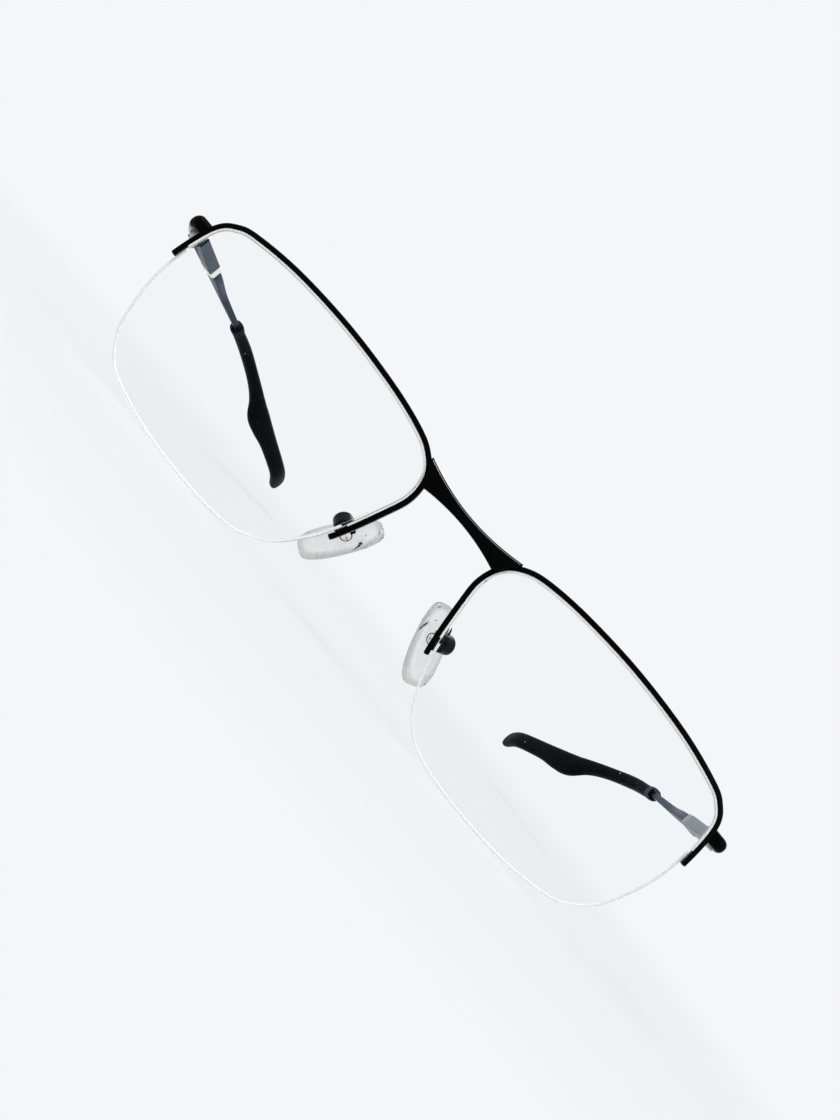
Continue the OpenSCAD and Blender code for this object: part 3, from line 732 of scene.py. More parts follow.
@dataclass
class LensEdge:
    """The lens outline and the domed surface that lens, liner, cord and rim share.

    The outline is a closed smooth curve through LENS_POINTS, which are shares of the lens's half
    width and half height, nose side negative. The rim covers it from its first point to rim_end:
    its temple side lies before temple_end, and its nose side from nose_start on.
    """

    width: float = 56 * MM
    height: float = 36.4 * MM
    gap: float = 19 * MM
    radius: float = 110 * MM
    crown_shift: float = 8.5 * MM
    crown_lead: float = 0.9 * MM
    thickness: float = 2 * MM
    temple_end: int = 3
    nose_start: int = 6
    rim_end: int = 12
    steps: int = 12

    def __post_init__(self) -> None:
        """Samples the outline with its outward normals, from the front."""
        self.centre_x = (self.gap + self.width) / 2
        shape = np.array(LENS_POINTS) * [self.width / 2, self.height / 2]
        self.edge = smooth_curve(shape, self.steps, closed=True)
        run = unit(np.roll(self.edge, -1, axis=0) - np.roll(self.edge, 1, axis=0))
        self.out = np.stack([run[:, 1], -run[:, 0]], axis=1)
        self.crown = np.array([self.centre_x - self.crown_shift, self.radius - self.crown_lead])

    def _on_dome(self, flat: np.ndarray, behind: float | np.ndarray) -> np.ndarray:
        """Points of the front view, from the lens centre, on the sphere behind the front dome."""
        x, z = flat[..., 0] + self.centre_x, flat[..., 1]
        r = self.radius - behind
        y = self.crown[1] - np.sqrt(r**2 - (x - self.crown[0]) ** 2 - z**2)
        return np.stack([x, y, z - BRIDGE_HEIGHT], axis=-1)

    def point(
        self, index: np.ndarray, out: float | np.ndarray, behind: float | np.ndarray
    ) -> np.ndarray:
        """Points at outline samples, moved out along the normal and lying behind the dome."""
        i = index % len(self.edge)
        return self._on_dome(self.edge[i] + np.asarray(out)[..., None] * self.out[i], behind)

    def scaled(self, share: np.ndarray, behind: float) -> np.ndarray:
        """Rings inside the lens: the outline drawn in to shares of its size, on the dome."""
        return self._on_dome(share[:, None, None] * self.edge[None], behind)


@dataclass
class Front:
    """Lenses with their liners, cords and rims, and the bridge."""

    edge: LensEdge = field(default_factory=LensEdge)
    lens_gap: float = 0.3 * MM
    lens_chamfer: float = 0.12 * MM
    rim_width: float = 0.95 * MM
    rim_lead: float = 0.1 * MM
    rim_depth: float = 2.2 * MM
    rim_round: float = 0.2 * MM
    groove_depth: float = 0.55 * MM
    groove_width: float = 0.6 * MM
    groove_slope: float = 0.05 * MM
    cord_diameter: float = 0.5 * MM
    liner_half: float = 0.9 * MM
    bridge_top: float = 1.0 * MM
    bridge_low: float = 0.93 * MM
    bridge_depth: float = 2 * MM
    bridge_flat: float = 5.5 * MM
    bridge_rise: float = 1.65 * MM
    bridge_fall: float = 1.7 * MM
    bridge_back: float = 1.1 * MM
    bridge_bevel: float = 0.16 * MM
    bridge_over: float = 2 * MM
    bridge_round: float = 0.16

    def build(self) -> None:
        """Makes every piece of the front."""
        for side in Side:
            for part in (self._lens, self._cord, self._liner, self._rim):
                part(side)
        self._bridge()

    def _lens(self, side: Side) -> None:
        """Lens: rings from the middle of the front dome out over the grooved edge and back in.

        Each ring is the outline at some share of its size, or moved in along its normals, at a
        depth behind the front dome. The edge has two small chamfers and the cord's groove.
        """
        t, g, c = self.edge.thickness, self.groove_depth, self.lens_chamfer
        near, far = (t - self.groove_width) / 2, (t + self.groove_width) / 2
        shares = np.linspace(0.02, 0.97, 16)
        index = np.arange(len(self.edge.edge))
        rim = [(-c, 0.0), (0.0, c), (0.0, near), (-g, near + self.groove_slope),
               (-g, far - self.groove_slope), (0.0, far), (0.0, t - c), (-c, t)]
        middle = np.stack([self.edge.point(index, o, b) for o, b in rim])
        rings = np.concatenate(
            [self.edge.scaled(shares, 0.0), middle, self.edge.scaled(shares[::-1], t)])
        add_piece("lens_glass", loft(rings[::-1]), side, GLASS, "front", "lens", Facing.CRISP)

    def _cord(self, side: Side) -> None:
        """Nylon cord: a round tube in the lens groove, from one end of the rim to the other."""
        r, sunk, overlap = self.cord_diameter / 2, 0.02 * MM, 3
        first = self.edge.rim_end * self.edge.steps - overlap
        index = np.arange(first, len(self.edge.edge) + overlap + 1)
        path = self.edge.point(index, -r - sunk, self.edge.thickness / 2)
        add_piece("nylon", tube(path, r, BACK), side, CORD, "front", "nylon_cord", Facing.SMOOTH)

    def _liner(self, side: Side) -> None:
        """Liner: a T-shaped strip: a flat lip fills the gap, with a foot in the lens and the rim.

        Its section runs round the lip and out into each foot, and is carried along the lens edge.
        """
        mid, half, lip = self.edge.thickness / 2, self.groove_width / 2 - 0.05 * MM, self.liner_half
        inner, outer = 0.02 * MM, self.lens_gap - 0.01 * MM
        foot, lug = -0.2 * MM, self.lens_gap + 0.3 * MM
        out = [lug, outer, outer, inner, inner, foot]
        behind = np.array([half, half, lip, lip, half, half])
        clear = 4
        index = np.arange(clear, self.edge.rim_end * self.edge.steps + 1 - clear)
        rings = self.edge.point(index[:, None], np.array(out + out[::-1]),
                                mid + np.concatenate([behind, -behind[::-1]]))
        add_piece("liner", loft(rings), side, LINER, "front", "rim_liner", Facing.CRISP)

    def _rim(self, side: Side) -> None:
        """Rim: a bar with rounded edges round the upper lens, its two ends bluntly rounded."""
        index = np.arange(self.edge.rim_end * self.edge.steps + 1)
        section = rounded_bar(self.rim_round, self.rim_width / 2, self.rim_depth / 2)
        rings = self.edge.point(index[:, None], self.lens_gap + self.rim_width / 2 + section[:, 0],
                                self.rim_depth / 2 - self.rim_lead + section[:, 1])
        form = loft(close_ends(rings, self.rim_width / 4))
        add_piece("rim_bar", form, side, BLACK, "front", "upper_rim")

    def rim_middle(self, z: np.ndarray, first: int, last: int) -> np.ndarray:
        """X of the rim's middle line between two of its spans, at heights from its centre."""
        index = np.arange(first * self.edge.steps, last * self.edge.steps)
        line = self.edge.point(index, self.lens_gap + self.rim_width / 2, 0.0)
        line = line[np.argsort(line[:, 2])]
        return np.interp(z, line[:, 2] + BRIDGE_HEIGHT, line[:, 0])

    def _bridge(self) -> None:
        """Bridge: a bar whose top rises and lower edge falls with the square of x.

        Its depth steps back past its flat middle with the square of the distance. Each line along
        it ends at the middle of the rim at its own height, or where the bridge ends, so the ends
        follow the rims. Its edges are rounded, and its front top edge has a wider bevel that
        catches the light.
        """
        slices, stations, rounds, corner = 5, 61, 5, 0.8
        end = self.edge.gap / 2 + self.bridge_over
        section = split_sides(rounded_bar(self.bridge_round, 1.0, 1.0), slices)
        part, run = section[:, 1], np.linspace(-1, 1, stations)[:, None]

        def heights(x: np.ndarray) -> np.ndarray:
            """Height of each line of the section at x, from the bridge's middle."""
            share = (x / end) ** 2
            top = self.bridge_top + self.bridge_rise * share
            low = -self.bridge_low - self.bridge_fall * share
            return (top + low) / 2 + part * (top - low) / 2

        spans, reach = (self.edge.nose_start, self.edge.rim_end), np.full(len(section), end)
        for _ in range(rounds):
            reach = np.minimum(end, self.rim_middle(BRIDGE_HEIGHT + heights(reach), *spans))
        x = run * reach
        beyond = np.maximum(np.abs(x) - self.bridge_flat, 0) / (end - self.bridge_flat)
        y = self.bridge_back * beyond**2 + self.bridge_depth / 2 * (1 + section[:, 0])
        rings = np.stack([x, y, heights(x)], axis=-1)
        near_top = np.flatnonzero((section[:, 1] > corner) & (section[:, 0] < -corner))
        rings[:, near_top] += [0, self.bridge_bevel, -self.bridge_bevel]
        add_piece("bridge_bar", loft(rings), None, BLACK, "front", "bridge")
        # The bright strip along the bevel is a painted highlight.
        self._bridge_edge(rings[1:-1, near_top[0]], rings[1:-1, near_top[-1]])

    def _bridge_edge(self, top: np.ndarray, low: np.ndarray) -> None:
        """Painted highlight: a hair-thin bright strip that lies on the bridge's rounded top edge.

        Its two borders run at even distances below the edge's top. The edge is a quarter ellipse,
        so at a share s of its height they lie the square root of 1 - (1 - s)^2 of its depth in.
        Each is doubled a hair's breadth out and in.
        """
        borders, hair = np.array([0.07, 0.152]), 0.014
        top, fall = top[:, None], (low - top)[:, None]
        share = borders[None, :, None] * -MM / fall[..., 2:]
        strip = top + share * fall
        strip[..., 1:2] = top[..., 1:2] + fall[..., 1:2] * np.sqrt(1 - (1 - share) ** 2)
        lift = np.array([0.0, -hair, hair]) * MM
        rings = np.concatenate([strip + lift, strip[:, ::-1] - lift], axis=1)
        add_piece("bridge_edge", loft(rings), None, EDGE_HIGHLIGHT, "front", facing=Facing.CRISP)


# Pieces of one side


@dataclass
class SidePieces:
    """Pieces of one side, built for the wearer's left in a frame that is turned and then moved."""

    side: Side
    turn: np.ndarray = field(init=False)
    origin: np.ndarray = field(init=False)

    def place(self, points: np.ndarray) -> np.ndarray:
        """Points of the pieces' own frame, turned and moved to the model's."""
        return points @ self.turn.T + self.origin

    def _add(self, name: str, form: Form, finish: Finish, body: str | None,
             node: str | None = None, facing: Facing = Facing.CREASED) -> bpy.types.Object:
        """Makes a piece of this side from a form in the pieces' own frame."""
        verts, faces = form
        return add_piece(name, (self.place(verts), faces), self.side, finish, body, node, facing)


# Hinges and temples


@dataclass
class HingeSide(SidePieces):
    """One side's hinge and temple, whose frame stands at the hinge and is turned by the droop.

    A row of TIP_STATIONS gives shares of the tip's length, inward bend, drop, height and
    thickness.
    """

    droop: float
    lug_drop: float
    tip_drop: float
    lug_height: float = 2.5 * MM
    lug_thickness: float = 1.3 * MM
    lug_reach: float = 2.45 * MM
    lug_centre: float = 11.35 * MM
    lug_front: float = 5.9 * MM
    lug_corner: float = 2.2 * MM
    lug_round: float = 1.1 * MM
    lug_fine_round: float = 0.14 * MM
    lug_root: float = 0.5 * MM
    lug_swell: float = 0.4 * MM
    hinge_depth: float = 13.2 * MM
    hinge_height: float = 2.7 * MM
    screw_head: float = 0.9 * MM
    screw_lift: float = 0.48 * MM
    bore: float = 0.78 * MM
    bore_depth: float = 13.6 * MM
    spring_front: float = 4.35 * MM
    spring_back: float = 12.05 * MM
    spring_radius: float = 0.53 * MM
    spring_wire: float = 0.12 * MM
    spring_turns: int = 10
    housing_length: float = 16 * MM
    housing_tail: float = 2.3 * MM
    band_length: float = 4.1 * MM
    band_height: float = 2.45 * MM
    band_spare: float = 0.06 * MM
    skin: float = 0.1 * MM
    swell_start: float = 0.6 * MM
    swell_hold: float = 6 * MM
    swell_end: float = 52 * MM
    housing_height: float = 2.4 * MM
    housing_thickness: float = 2.15 * MM
    knuckle: float = 1.05 * MM
    mouth_gap: float = 0.35 * MM
    neck_run: float = 4.35 * MM
    arm_length: float = 75.5 * MM
    arm_height: float = 2.5 * MM
    arm_end_height: float = 1.15 * MM
    arm_thickness: float = 1.1 * MM
    arm_lean: float = 1.2 * MM
    core_run: float = 4 * MM
    collar_length: float = 3.5 * MM
    collar_lead: float = 0.3 * MM
    tip_length: float = 62 * MM
    tip_in: float = 24 * MM
    tip_height: float = 4.2 * MM
    tip_thickness: float = 2.6 * MM

    TIP_STATIONS = (
        (0, 0, 0, 0.6, 0.94), (0.07, 0.02, 0.02, 0.61, 0.96), (0.2, 0.117, 0.08, 0.66, 1),
        (0.34, 0.287, 0.228, 0.66, 1.04), (0.43, 0.414, 0.366, 0.83, 1.1),
        (0.5, 0.52, 0.52, 1.27, 1.14), (0.57, 0.626, 0.6, 1.21, 1.12),
        (0.66, 0.753, 0.675, 1, 1.04), (0.82, 0.945, 0.825, 0.94, 1),
        (0.94, 0.99, 0.925, 1.02, 0.96), (0.985, 0.998, 0.985, 0.72, 0.74), (1, 1, 1, 0.3, 0.34),
    )

    def __post_init__(self) -> None:
        """Works out the hinge's place from the front's sizes."""
        front = Front()
        self.rim_edge = (front.edge.centre_x + front.edge.width / 2 + front.lens_gap
                         + front.rim_width)
        self.outer = self.rim_edge + self.lug_reach
        self.inner = self.outer - self.lug_thickness
        self.axis_x = self.inner - self.housing_thickness / 2
        self.lug_z = self.lug_centre - BRIDGE_HEIGHT
        self.hinge_z = self.lug_z - self.lug_drop
        self.mouth = self.knuckle + self.mouth_gap
        self.neck = self.housing_length + self.knuckle + self.neck_run
        self.turn = turn_about(0, -math.radians(self.droop))
        self.origin = np.array([self.axis_x, self.hinge_depth, self.hinge_z])

    def build(self) -> None:
        """Makes this side's end piece, spring, housing, arm, tip and screw."""
        for part in (self._end_piece, self._spring, self._housing, self._housing_band, self._arm,
                     self._tip, self._collar, self._screw):
            part()

    def _end_piece(self) -> None:
        """End piece: a bar that leaves the rim sideways, turns a quarter circle and runs back.

        The plan path follows its outer face. Each ring is a bar's section set inwards from the
        path, with wide quarter rounds outside and small ones inside. The first ring ends at the
        rim's middle line at each height. The height goes over from the front's to the hinge's, and
        the bar thins round the corner, where its middle drops fastest. Behind the corner a painted
        highlight in bare-metal grey stands in for the light on its dropping underside.
        """
        straight, lead, beyond = 10, 0.5 * MM, 1 * MM
        a = np.linspace(-np.pi / 2, 0, 16)
        middle = np.array([self.outer - self.lug_corner, self.lug_front + self.lug_corner])
        way = np.stack([np.cos(a), np.sin(a)], axis=1)
        run_y = np.linspace(middle[1] + lead, self.hinge_depth, straight)
        plan = np.vstack([[[self.rim_edge - self.lug_root, self.lug_front]],
                          middle + self.lug_corner * way,
                          np.stack([np.full(straight, self.outer), run_y], axis=1)])
        out = np.vstack([[[0.0, -1.0]], way, np.tile([1.0, 0.0], (straight, 1))])
        back = np.clip((plan[:, 1] - middle[1]) / (self.hinge_depth + beyond - middle[1]), 0, 1)
        drop_from, drop_power, drop_share = self.lug_front + 0.6 * MM, 2.2, 0.84
        early = np.clip((plan[:, 1] - drop_from) / (self.hinge_depth - drop_from), 0, 1)
        dropped = drop_share * (1 - (1 - early) ** drop_power)
        z = self.lug_z + dropped * (self.hinge_z - self.lug_z)
        height = self.lug_height + back * (self.hinge_height - self.lug_height)
        thick = self.lug_thickness + self.lug_swell * np.clip(-out[:, 1], 0, 1)
        turn = np.linspace(0, np.pi / 2, 6)
        fine, wide = self.lug_fine_round, self.lug_round
        shift, lift = [], []
        for inward, upward, r, first in ((1, 1, fine, np.pi), (0, 1, wide, np.pi / 2),
                                         (0, -1, wide, 0.0), (1, -1, fine, -np.pi / 2)):
            angle = first - turn
            shift.append(-inward * thick[:, None] + (2 * inward - 1) * r + r * np.cos(angle))
            lift.append(upward * (height[:, None] / 2 - r) + r * np.sin(angle))
        shift, lift = np.hstack(shift), np.hstack(lift)
        flat = plan[:, None] + shift[..., None] * out[:, None]
        rings = np.concatenate([flat, (z[:, None] + lift)[..., None]], axis=-1)
        front = Front()
        rings[0, :, 0] = front.rim_middle(
            rings[0, :, 2] + BRIDGE_HEIGHT, 0, front.edge.temple_end)
        slope = math.tan(math.radians(self.droop))
        rings[-1, :, 1] = self.hinge_depth + (rings[-1, :, 2] - self.hinge_z) * slope
        form = loft(rings)
        made = add_piece("lug", form, self.side, BLACK, "front", "end_piece")
        # Painted highlight: the lacquer goes over to bare-metal grey behind the corner.
        lit_patch_from, lit_patch_all = self.lug_front + 1.3 * MM, self.lug_front + 2.2 * MM
        keep_mask(made, "worn", ease(form[0][:, 1], lit_patch_from, lit_patch_all))

    def _spring(self) -> None:
        """Coil spring on the slider's rod: a tube along a helix of even pitch.

        It runs along the rod from spring_front back to spring_back.
        """
        turn_steps = 20
        share = np.linspace(0, 1, self.spring_turns * turn_steps + 1)
        path = round_y(2 * np.pi * self.spring_turns * share, self.spring_radius,
                       self.spring_front + (self.spring_back - self.spring_front) * share)
        made = self._add("coil", tube(path, self.spring_wire, BACK, sides=8), SPRING, None,
                         "hinge_spring")
        ends = self.place(np.outer([self.spring_front, self.spring_back], BACK))
        ends[:, 0] *= self.side.value
        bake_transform(made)

    def _housing(self) -> None:
        """Housing: a rounded block along the arm's inside, its rear rounded off, its bore open.

        Rings run forward along the outside, turn in over the mouth, and run back down the bore.
        Its tail is a thin skin that reaches back over the arm to the band. Its lower edge rises
        towards the mouth. Its rows are shares of its length, width and height.
        """
        half_t, half_h = self.housing_thickness / 2, self.housing_height / 2
        rows = smooth_curve(np.array([
            [1.0, 0.84, 0.9], [0.995, 0.93, 0.96], [0.98, 0.985, 0.99], [0.96, 1.0, 1.0],
            [0.1, 1.0, 1.0], [0.012, 0.985, 0.985], [0.0, 0.94, 0.94]]), 4)
        y = self.mouth + rows[:, 0] * (self.housing_length + self.housing_tail)
        half_w = half_t * rows[:, 1]
        rise_share, rise_power, corner, lip = 0.15, 1.5, 0.22, 0.05 * MM
        rise = rise_share * half_h * (1 - np.clip(rows[:, 0], 0, 1)) ** rise_power
        section = rounded_bar(corner, 1.0, 1.0, corner_steps=8)
        path = np.stack([half_t - half_w, y, rise], axis=1)
        rings = section_rings(path, np.outer(half_w, ACROSS),
                              np.outer(half_h * rows[:, 2] - rise, UP), section)
        angle = np.arctan2(section[:, 1], section[:, 0])
        bore_y = np.array([self.mouth, self.mouth + lip, self.bore_depth])
        bore = round_y(angle[None], self.bore, bore_y[:, None])
        self._add("housing_shell", loft(np.concatenate([rings, bore])), LOOKS[self.side].housing,
                  "temple", "spring_housing")

    def _arm_middle(self, y: np.ndarray) -> np.ndarray:
        """X of the arm's middle: straight beside the housing, then leaning in to the tip."""
        lean = np.clip((y - self.neck) / (self.arm_length - self.neck), 0, 1)
        return self.inner - self.axis_x + self.arm_thickness / 2 - self.arm_lean * lean

    def _strip(self, y: np.ndarray, half_h: np.ndarray, spare: float, size: np.ndarray,
               corner: float) -> Form:
        """A bar along the arm, wider than it by spare and drawn in to shares of its size.

        Its inner face is level with the housing from just inside the tail, which it reaches
        within a millimetre, and eases away as a smooth step to swell_end.

        Args:
            y: distances along the arm.
            half_h: the bar's half height at each.
            spare: how far it stands out from the arm.
            size: share of its width and height at each.
            corner: its corners' share of its half size.

        Returns:
            The points and faces in the hinge's own frame.
        """
        start = self.knuckle + self.housing_length + self.swell_start
        away = ease(y, start + self.swell_hold, self.swell_end)
        grown = np.clip((y - start) / MM, 0, 1) * (1 - away)
        inward = (self.housing_thickness - self.skin) * grown / 2
        path = np.stack([self._arm_middle(y) - inward, y, 0 * y], axis=1)
        half_w = self.arm_thickness / 2 + inward + spare
        return swept(path, np.outer(half_w * size, ACROSS), np.outer(half_h * size, UP),
                     rounded_bar(corner, 1.0, 1.0))

    def _arm(self) -> None:
        """Arm: a flat strip with rounded edges that tapers to the tip, thick behind the housing.

        Its height falls in a line from the hinge to the neck, and in another down to the tip.
        """
        start, fall = 0.05 * MM, 0.6 * MM
        end = self.arm_length + self.core_run
        y = np.linspace(start, end, 150)
        height = np.interp(y, [0.0, self.neck, end],
                           [self.arm_height, self.arm_height - fall, self.arm_end_height])
        form = self._strip(y, height / 2, spare=0.0, size=np.ones(len(y)), corner=0.3)
        self._add("arm_strip", form, LOOKS[self.side].arm, "temple", "temple_arm")

    def _housing_band(self) -> None:
        """Band: a polished ring round the arm behind the housing, its two edges rounded."""
        t = np.array([0.0, 0.0, 0.04, 0.12, 0.88, 0.96, 1.0, 1.0])
        size = np.array([0.8, 0.93, 0.98, 1.0, 1.0, 0.98, 0.93, 0.8])
        y = self.mouth + self.housing_length + self.housing_tail + t * self.band_length
        half_h = np.full(len(y), self.band_height / 2)
        form = self._strip(y, half_h, self.band_spare, size, corner=0.35)
        self._add("housing_band", form, LOOKS[self.side].band, "temple")

    def _tip_rows(self) -> tuple[np.ndarray, np.ndarray, np.ndarray]:
        """The tip's middle line and its half widths and heights, sampled finely."""
        s = np.array(self.TIP_STATIONS)
        mid = self._arm_middle(np.array([self.arm_length]))[0]
        line = np.stack([mid - s[:, 1] * self.tip_in, self.arm_length + s[:, 0] * self.tip_length,
                         -s[:, 2] * self.tip_drop], axis=1)
        size = np.stack([s[:, 4] * self.tip_thickness / 2, s[:, 3] * self.tip_height / 2], axis=1)
        return smooth_curve(line, 8), *np.split(smooth_curve(size, 8), 2, axis=1)

    def _tip(self) -> None:
        """Tip: a soft oval section carried along the tip's line, thickest at its belly."""
        line, half_w, half_h = self._tip_rows()
        across, up = frames_from(line, UP)
        form = swept(line, across * half_w, up * half_h, superellipse(28, power=0.8))
        self._add("tip_sleeve", form, TIP, "temple", "temple_tip", Facing.SMOOTH)

    def _collar(self) -> None:
        """Collar: the tip's thicker mouth, a short sleeve with rounded edges round the arm.

        It swells by a share of a power of the sine of half a turn. The first of its even steps
        starts before the mouth and is cut off there.
        """
        line, half_w, half_h = self._tip_rows()
        t = np.linspace(0, 1, 12)
        y = self.arm_length - self.collar_lead + (self.collar_length + self.collar_lead) * t
        middle = np.stack([np.interp(y, line[:, 1], line[:, k]) for k in range(3)], axis=1)
        share, power, rounding = 0.13, 0.35, 0.05
        ends = (t == 0) | (t == 1)
        swell = 1.0 + share * np.sin(np.pi * t) ** power - rounding * ends
        form = swept(middle, np.outer(half_w[0] * swell, ACROSS), np.outer(half_h[0] * swell, UP),
                     superellipse(28, power=0.75))
        self._add("tip_collar", form, LOOKS[self.side].collar, "temple")

    def _screw(self) -> None:
        """Hinge screw: a slotted head over the upper knuckle and its shank through all three."""
        slot, shank, slot_turn, play = 0.24 * MM, 0.56 * MM, 35.0, 0.03 * MM
        verts, faces = slotted_screw(self.screw_head, self.screw_lift, slot, shank,
                                     self.hinge_height)
        verts = verts @ turn_about(2, math.radians(slot_turn)).T
        verts = verts + UP * (self.hinge_height / 2 + play)
        self._add("screw_head", (verts, faces), STEEL, "screw", "hinge_screw")


# Nose pads


@dataclass
class NosePad(SidePieces):
    """One side's clear pad with its screw box, screw and wire arm, turned by splay and tilt."""

    length: float = 14.8 * MM
    width: float = 8.2 * MM
    thickness: float = 2 * MM
    frontal: float = 28.0
    splay: float = 42.0
    x: float = 11.6 * MM
    y: float = 9.8 * MM
    below: float = 4.5 * MM
    box_width: float = 2.6 * MM
    box_length: float = 3.5 * MM
    box_open: float = 1.3 * MM
    box_deep: float = 3.5 * MM
    box_up: float = 1.1 * MM
    box_wall: float = 0.4 * MM
    box_round_steps: int = 25
    box_corner_steps: int = 5
    tab_x: float = 1.95 * MM
    tab_width: float = 0.9 * MM
    wire: float = 1.1 * MM
    head: float = 1.0 * MM
    head_lift: float = 0.85 * MM
    ring_radius: float = 0.97 * MM
    ring_wire: float = 0.11 * MM

    def __post_init__(self) -> None:
        """Works out the pad's turn and place."""
        self.turn = (turn_about(1, -math.radians(self.frontal))
                     @ turn_about(2, -math.radians(self.splay)))
        self.origin = np.array([self.x, self.y, -self.below - BRIDGE_HEIGHT])

    def build(self) -> None:
        """Makes the silicone pad, the box, its screw and the wire; the core keeps its solid."""
        for part in (self._silicone, self._box, self._screw, self._wire):
            part()

    def _silicone(self) -> None:
        """Pad: rings up its length; each is a lens-like oval, drawn in towards both ends.

        The height follows a sine and the width a cosine to a power, a little narrower at the top,
        and the middle swells towards the nose. The mask of painted border shade follows an oval of
        power 2.6.
        """
        power, narrowing, end_share, fullness, last = 2.6, 0.1, 0.45, 0.52, 88.0
        a = np.radians(np.linspace(-last, last, 45))
        full = np.cos(a) ** fullness
        egg = 1 - narrowing * np.sin(a)
        path = np.outer(self.length / 2 * np.sin(a), UP)
        across = np.outer(self.thickness / 2 * (end_share + (1 - end_share) * full), ACROSS)
        deep = np.outer(self.width / 2 * full * egg, BACK)
        form = loft(section_rings(path, across, deep, superellipse(48, power=0.85)))
        made = self._add("pad_silicone", form, SILICONE, "pad", "nose_pad", Facing.SMOOTH)
        share = np.abs(form[0][:, 1:] / np.array([self.width / 2, self.length / 2]))
        reach = (share**power).sum(axis=1) ** (1 / power)
        # Painted shade: a warm grey laid along the pad's border.
        strength, shade_border_from, shade_border_all = 0.75, 0.8, 0.92
        keep_mask(made, "border", strength * ease(reach, shade_border_from, shade_border_all))

    def _box_outline(self, inset: float) -> np.ndarray:
        """The box from the side: flat towards the pad, half round behind, drawn in by inset."""
        r, corner = self.box_length / 2, 0.4 * MM
        back = self.box_open + self.box_deep - r
        a = np.linspace(-np.pi / 2, np.pi / 2, self.box_round_steps)
        turn = np.linspace(0, np.pi / 2, self.box_corner_steps)
        upper = np.stack([self.box_open + corner - (corner - inset) * np.sin(turn),
                          r - corner + (corner - inset) * np.cos(turn)], axis=1)
        lower = (upper * [1, -1])[::-1]
        round_side = np.stack([back + (r - inset) * np.cos(a), (r - inset) * np.sin(a)], axis=1)
        return np.vstack([round_side, upper, lower])

    def _box(self) -> None:
        """Box: two rounded cheeks and a web between them, which leaves the slot for the tab.

        A cheek is the outline carried across and drawn in at its outer edge by a quarter round.
        The web is the outline with the slot cut out of its flat side.
        """
        play, edge, overlap = 0.1 * MM, 0.3 * MM, 0.02 * MM
        half, gap = self.box_width / 2, self.tab_width / 2 + play

        def across(levels: list[tuple[float, np.ndarray]]) -> Form:
            """Outlines of the box at several distances across it."""
            rings = [np.column_stack([flat[:, 0], np.full(len(flat), y), flat[:, 1] + self.box_up])
                     for y, flat in levels]
            return loft(np.array(rings)[:, ::-1])

        near = [(gap, self._box_outline(0.0))]
        near += [(half - edge + edge * math.sin(k), self._box_outline(edge * (1 - math.cos(k))))
                 for k in np.linspace(0, np.pi / 2, 5)]
        far = [(-y, flat) for y, flat in near[::-1]]
        deep, reach = self.tab_x + 0.95 * MM, self.box_length / 2 - self.box_wall
        slot = [[self.box_open, reach], [deep, reach], [deep, -reach], [self.box_open, -reach]]
        outline, cut = self._box_outline(0.0), self.box_round_steps + self.box_corner_steps
        web = np.vstack([outline[:cut], slot, outline[cut:]])
        ends = [(y, web) for y in (-gap - overlap, gap + overlap)]
        self._add("screw_box", join(across(near), across(far), across(ends)), BOX, "front",
                  "pad_box")

    def _screw(self) -> None:
        """Pad screw: its slotted head stands on the box's front cheek, its shank crosses the slot.

        A dark ring, round wire bent to a circle, runs round the head's edge.
        """
        slot, shank, play, ring_stand = 0.22 * MM, 0.42 * MM, 0.03 * MM, 0.78 * MM
        half = self.box_width / 2
        verts, faces = slotted_screw(self.head, self.head_lift, slot, shank, self.box_width)
        verts = verts @ turn_about(0, math.pi / 2).T
        verts = verts + [self.tab_x, -half - play, self.box_up]
        self._add("box_screw", (verts, faces), POLISHED, "front", "pad_screw")
        way = round_y(np.linspace(0, 2 * np.pi, 40, endpoint=False))
        wall = superellipse(10) * self.ring_wire
        rings = way[:, None] * (self.ring_radius + wall[None, :, :1]) + wall[None, :, 1:] * BACK
        rings = rings + [self.tab_x, -half - ring_stand, self.box_up]
        self._add("screw_ring", loft(rings, closed_path=True), BOX, "front")

    def _wire(self) -> None:
        """Wire arm: a round wire from the rim's back, half a span before its end, to the box's top.

        The radius grows from the root as a sine over the first third of the way.
        """
        thin, growth, third = 0.72, 0.18, 0.33
        front = Front()
        edge = front.edge
        spot = edge.rim_end * edge.steps - edge.steps // 2
        root = edge.point(np.array([spot]), front.lens_gap + front.rim_width / 2,
                          front.rim_depth - front.rim_lead)[0]
        middle = self.box_open + self.box_deep / 2
        top = self.box_up + self.box_length / 2
        over, end = self.place(np.array([[middle, 0, top + 0.9 * MM], [middle, 0, top - 0.2 * MM]]))
        path = smooth_curve(np.array([
            root - [0, 0.1 * MM, 0], root + [0.1 * MM, 1.1 * MM, 0.2 * MM],
            [(2 * root[0] + end[0]) / 3, (root[1] + end[1]) / 2 + 0.5 * MM, root[2] + 0.2 * MM],
            [(root[0] + 2 * end[0]) / 3, end[1] - 0.6 * MM, root[2] - 0.3 * MM], over, end]), 8)
        t = np.linspace(0, 1, len(path))
        radius = self.wire / 2 * (thin + growth * np.sin(np.pi / 2 * np.clip(t / third, 0, 1)))
        sideways, up = frames_from(path, ACROSS)
        form = swept(path, sideways * radius[:, None], up * radius[:, None], superellipse(20))
        add_piece("wire_arm", form, self.side, BLACK, "front", "pad_arm", Facing.SMOOTH)


# CAD nodes that stay, and the studio


NODE_FINISH = {
    "hinge_leaf": LEAF, "hinge_slider": PLATED, "slider_nut": BRASS, "spring_bush": BRASS,
    "pad_core": CORE,
}


def dress_nodes() -> None:
    """Gives each CAD node that stays its finish."""
    for stem, finish in NODE_FINISH.items():
        for side in Side:
            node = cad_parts[f"{stem}_{side.word}"]
            node.data.materials.clear()
            node.data.materials.append(finish.material())
            log.info("%s dressed in %s", node.name, finish.name)


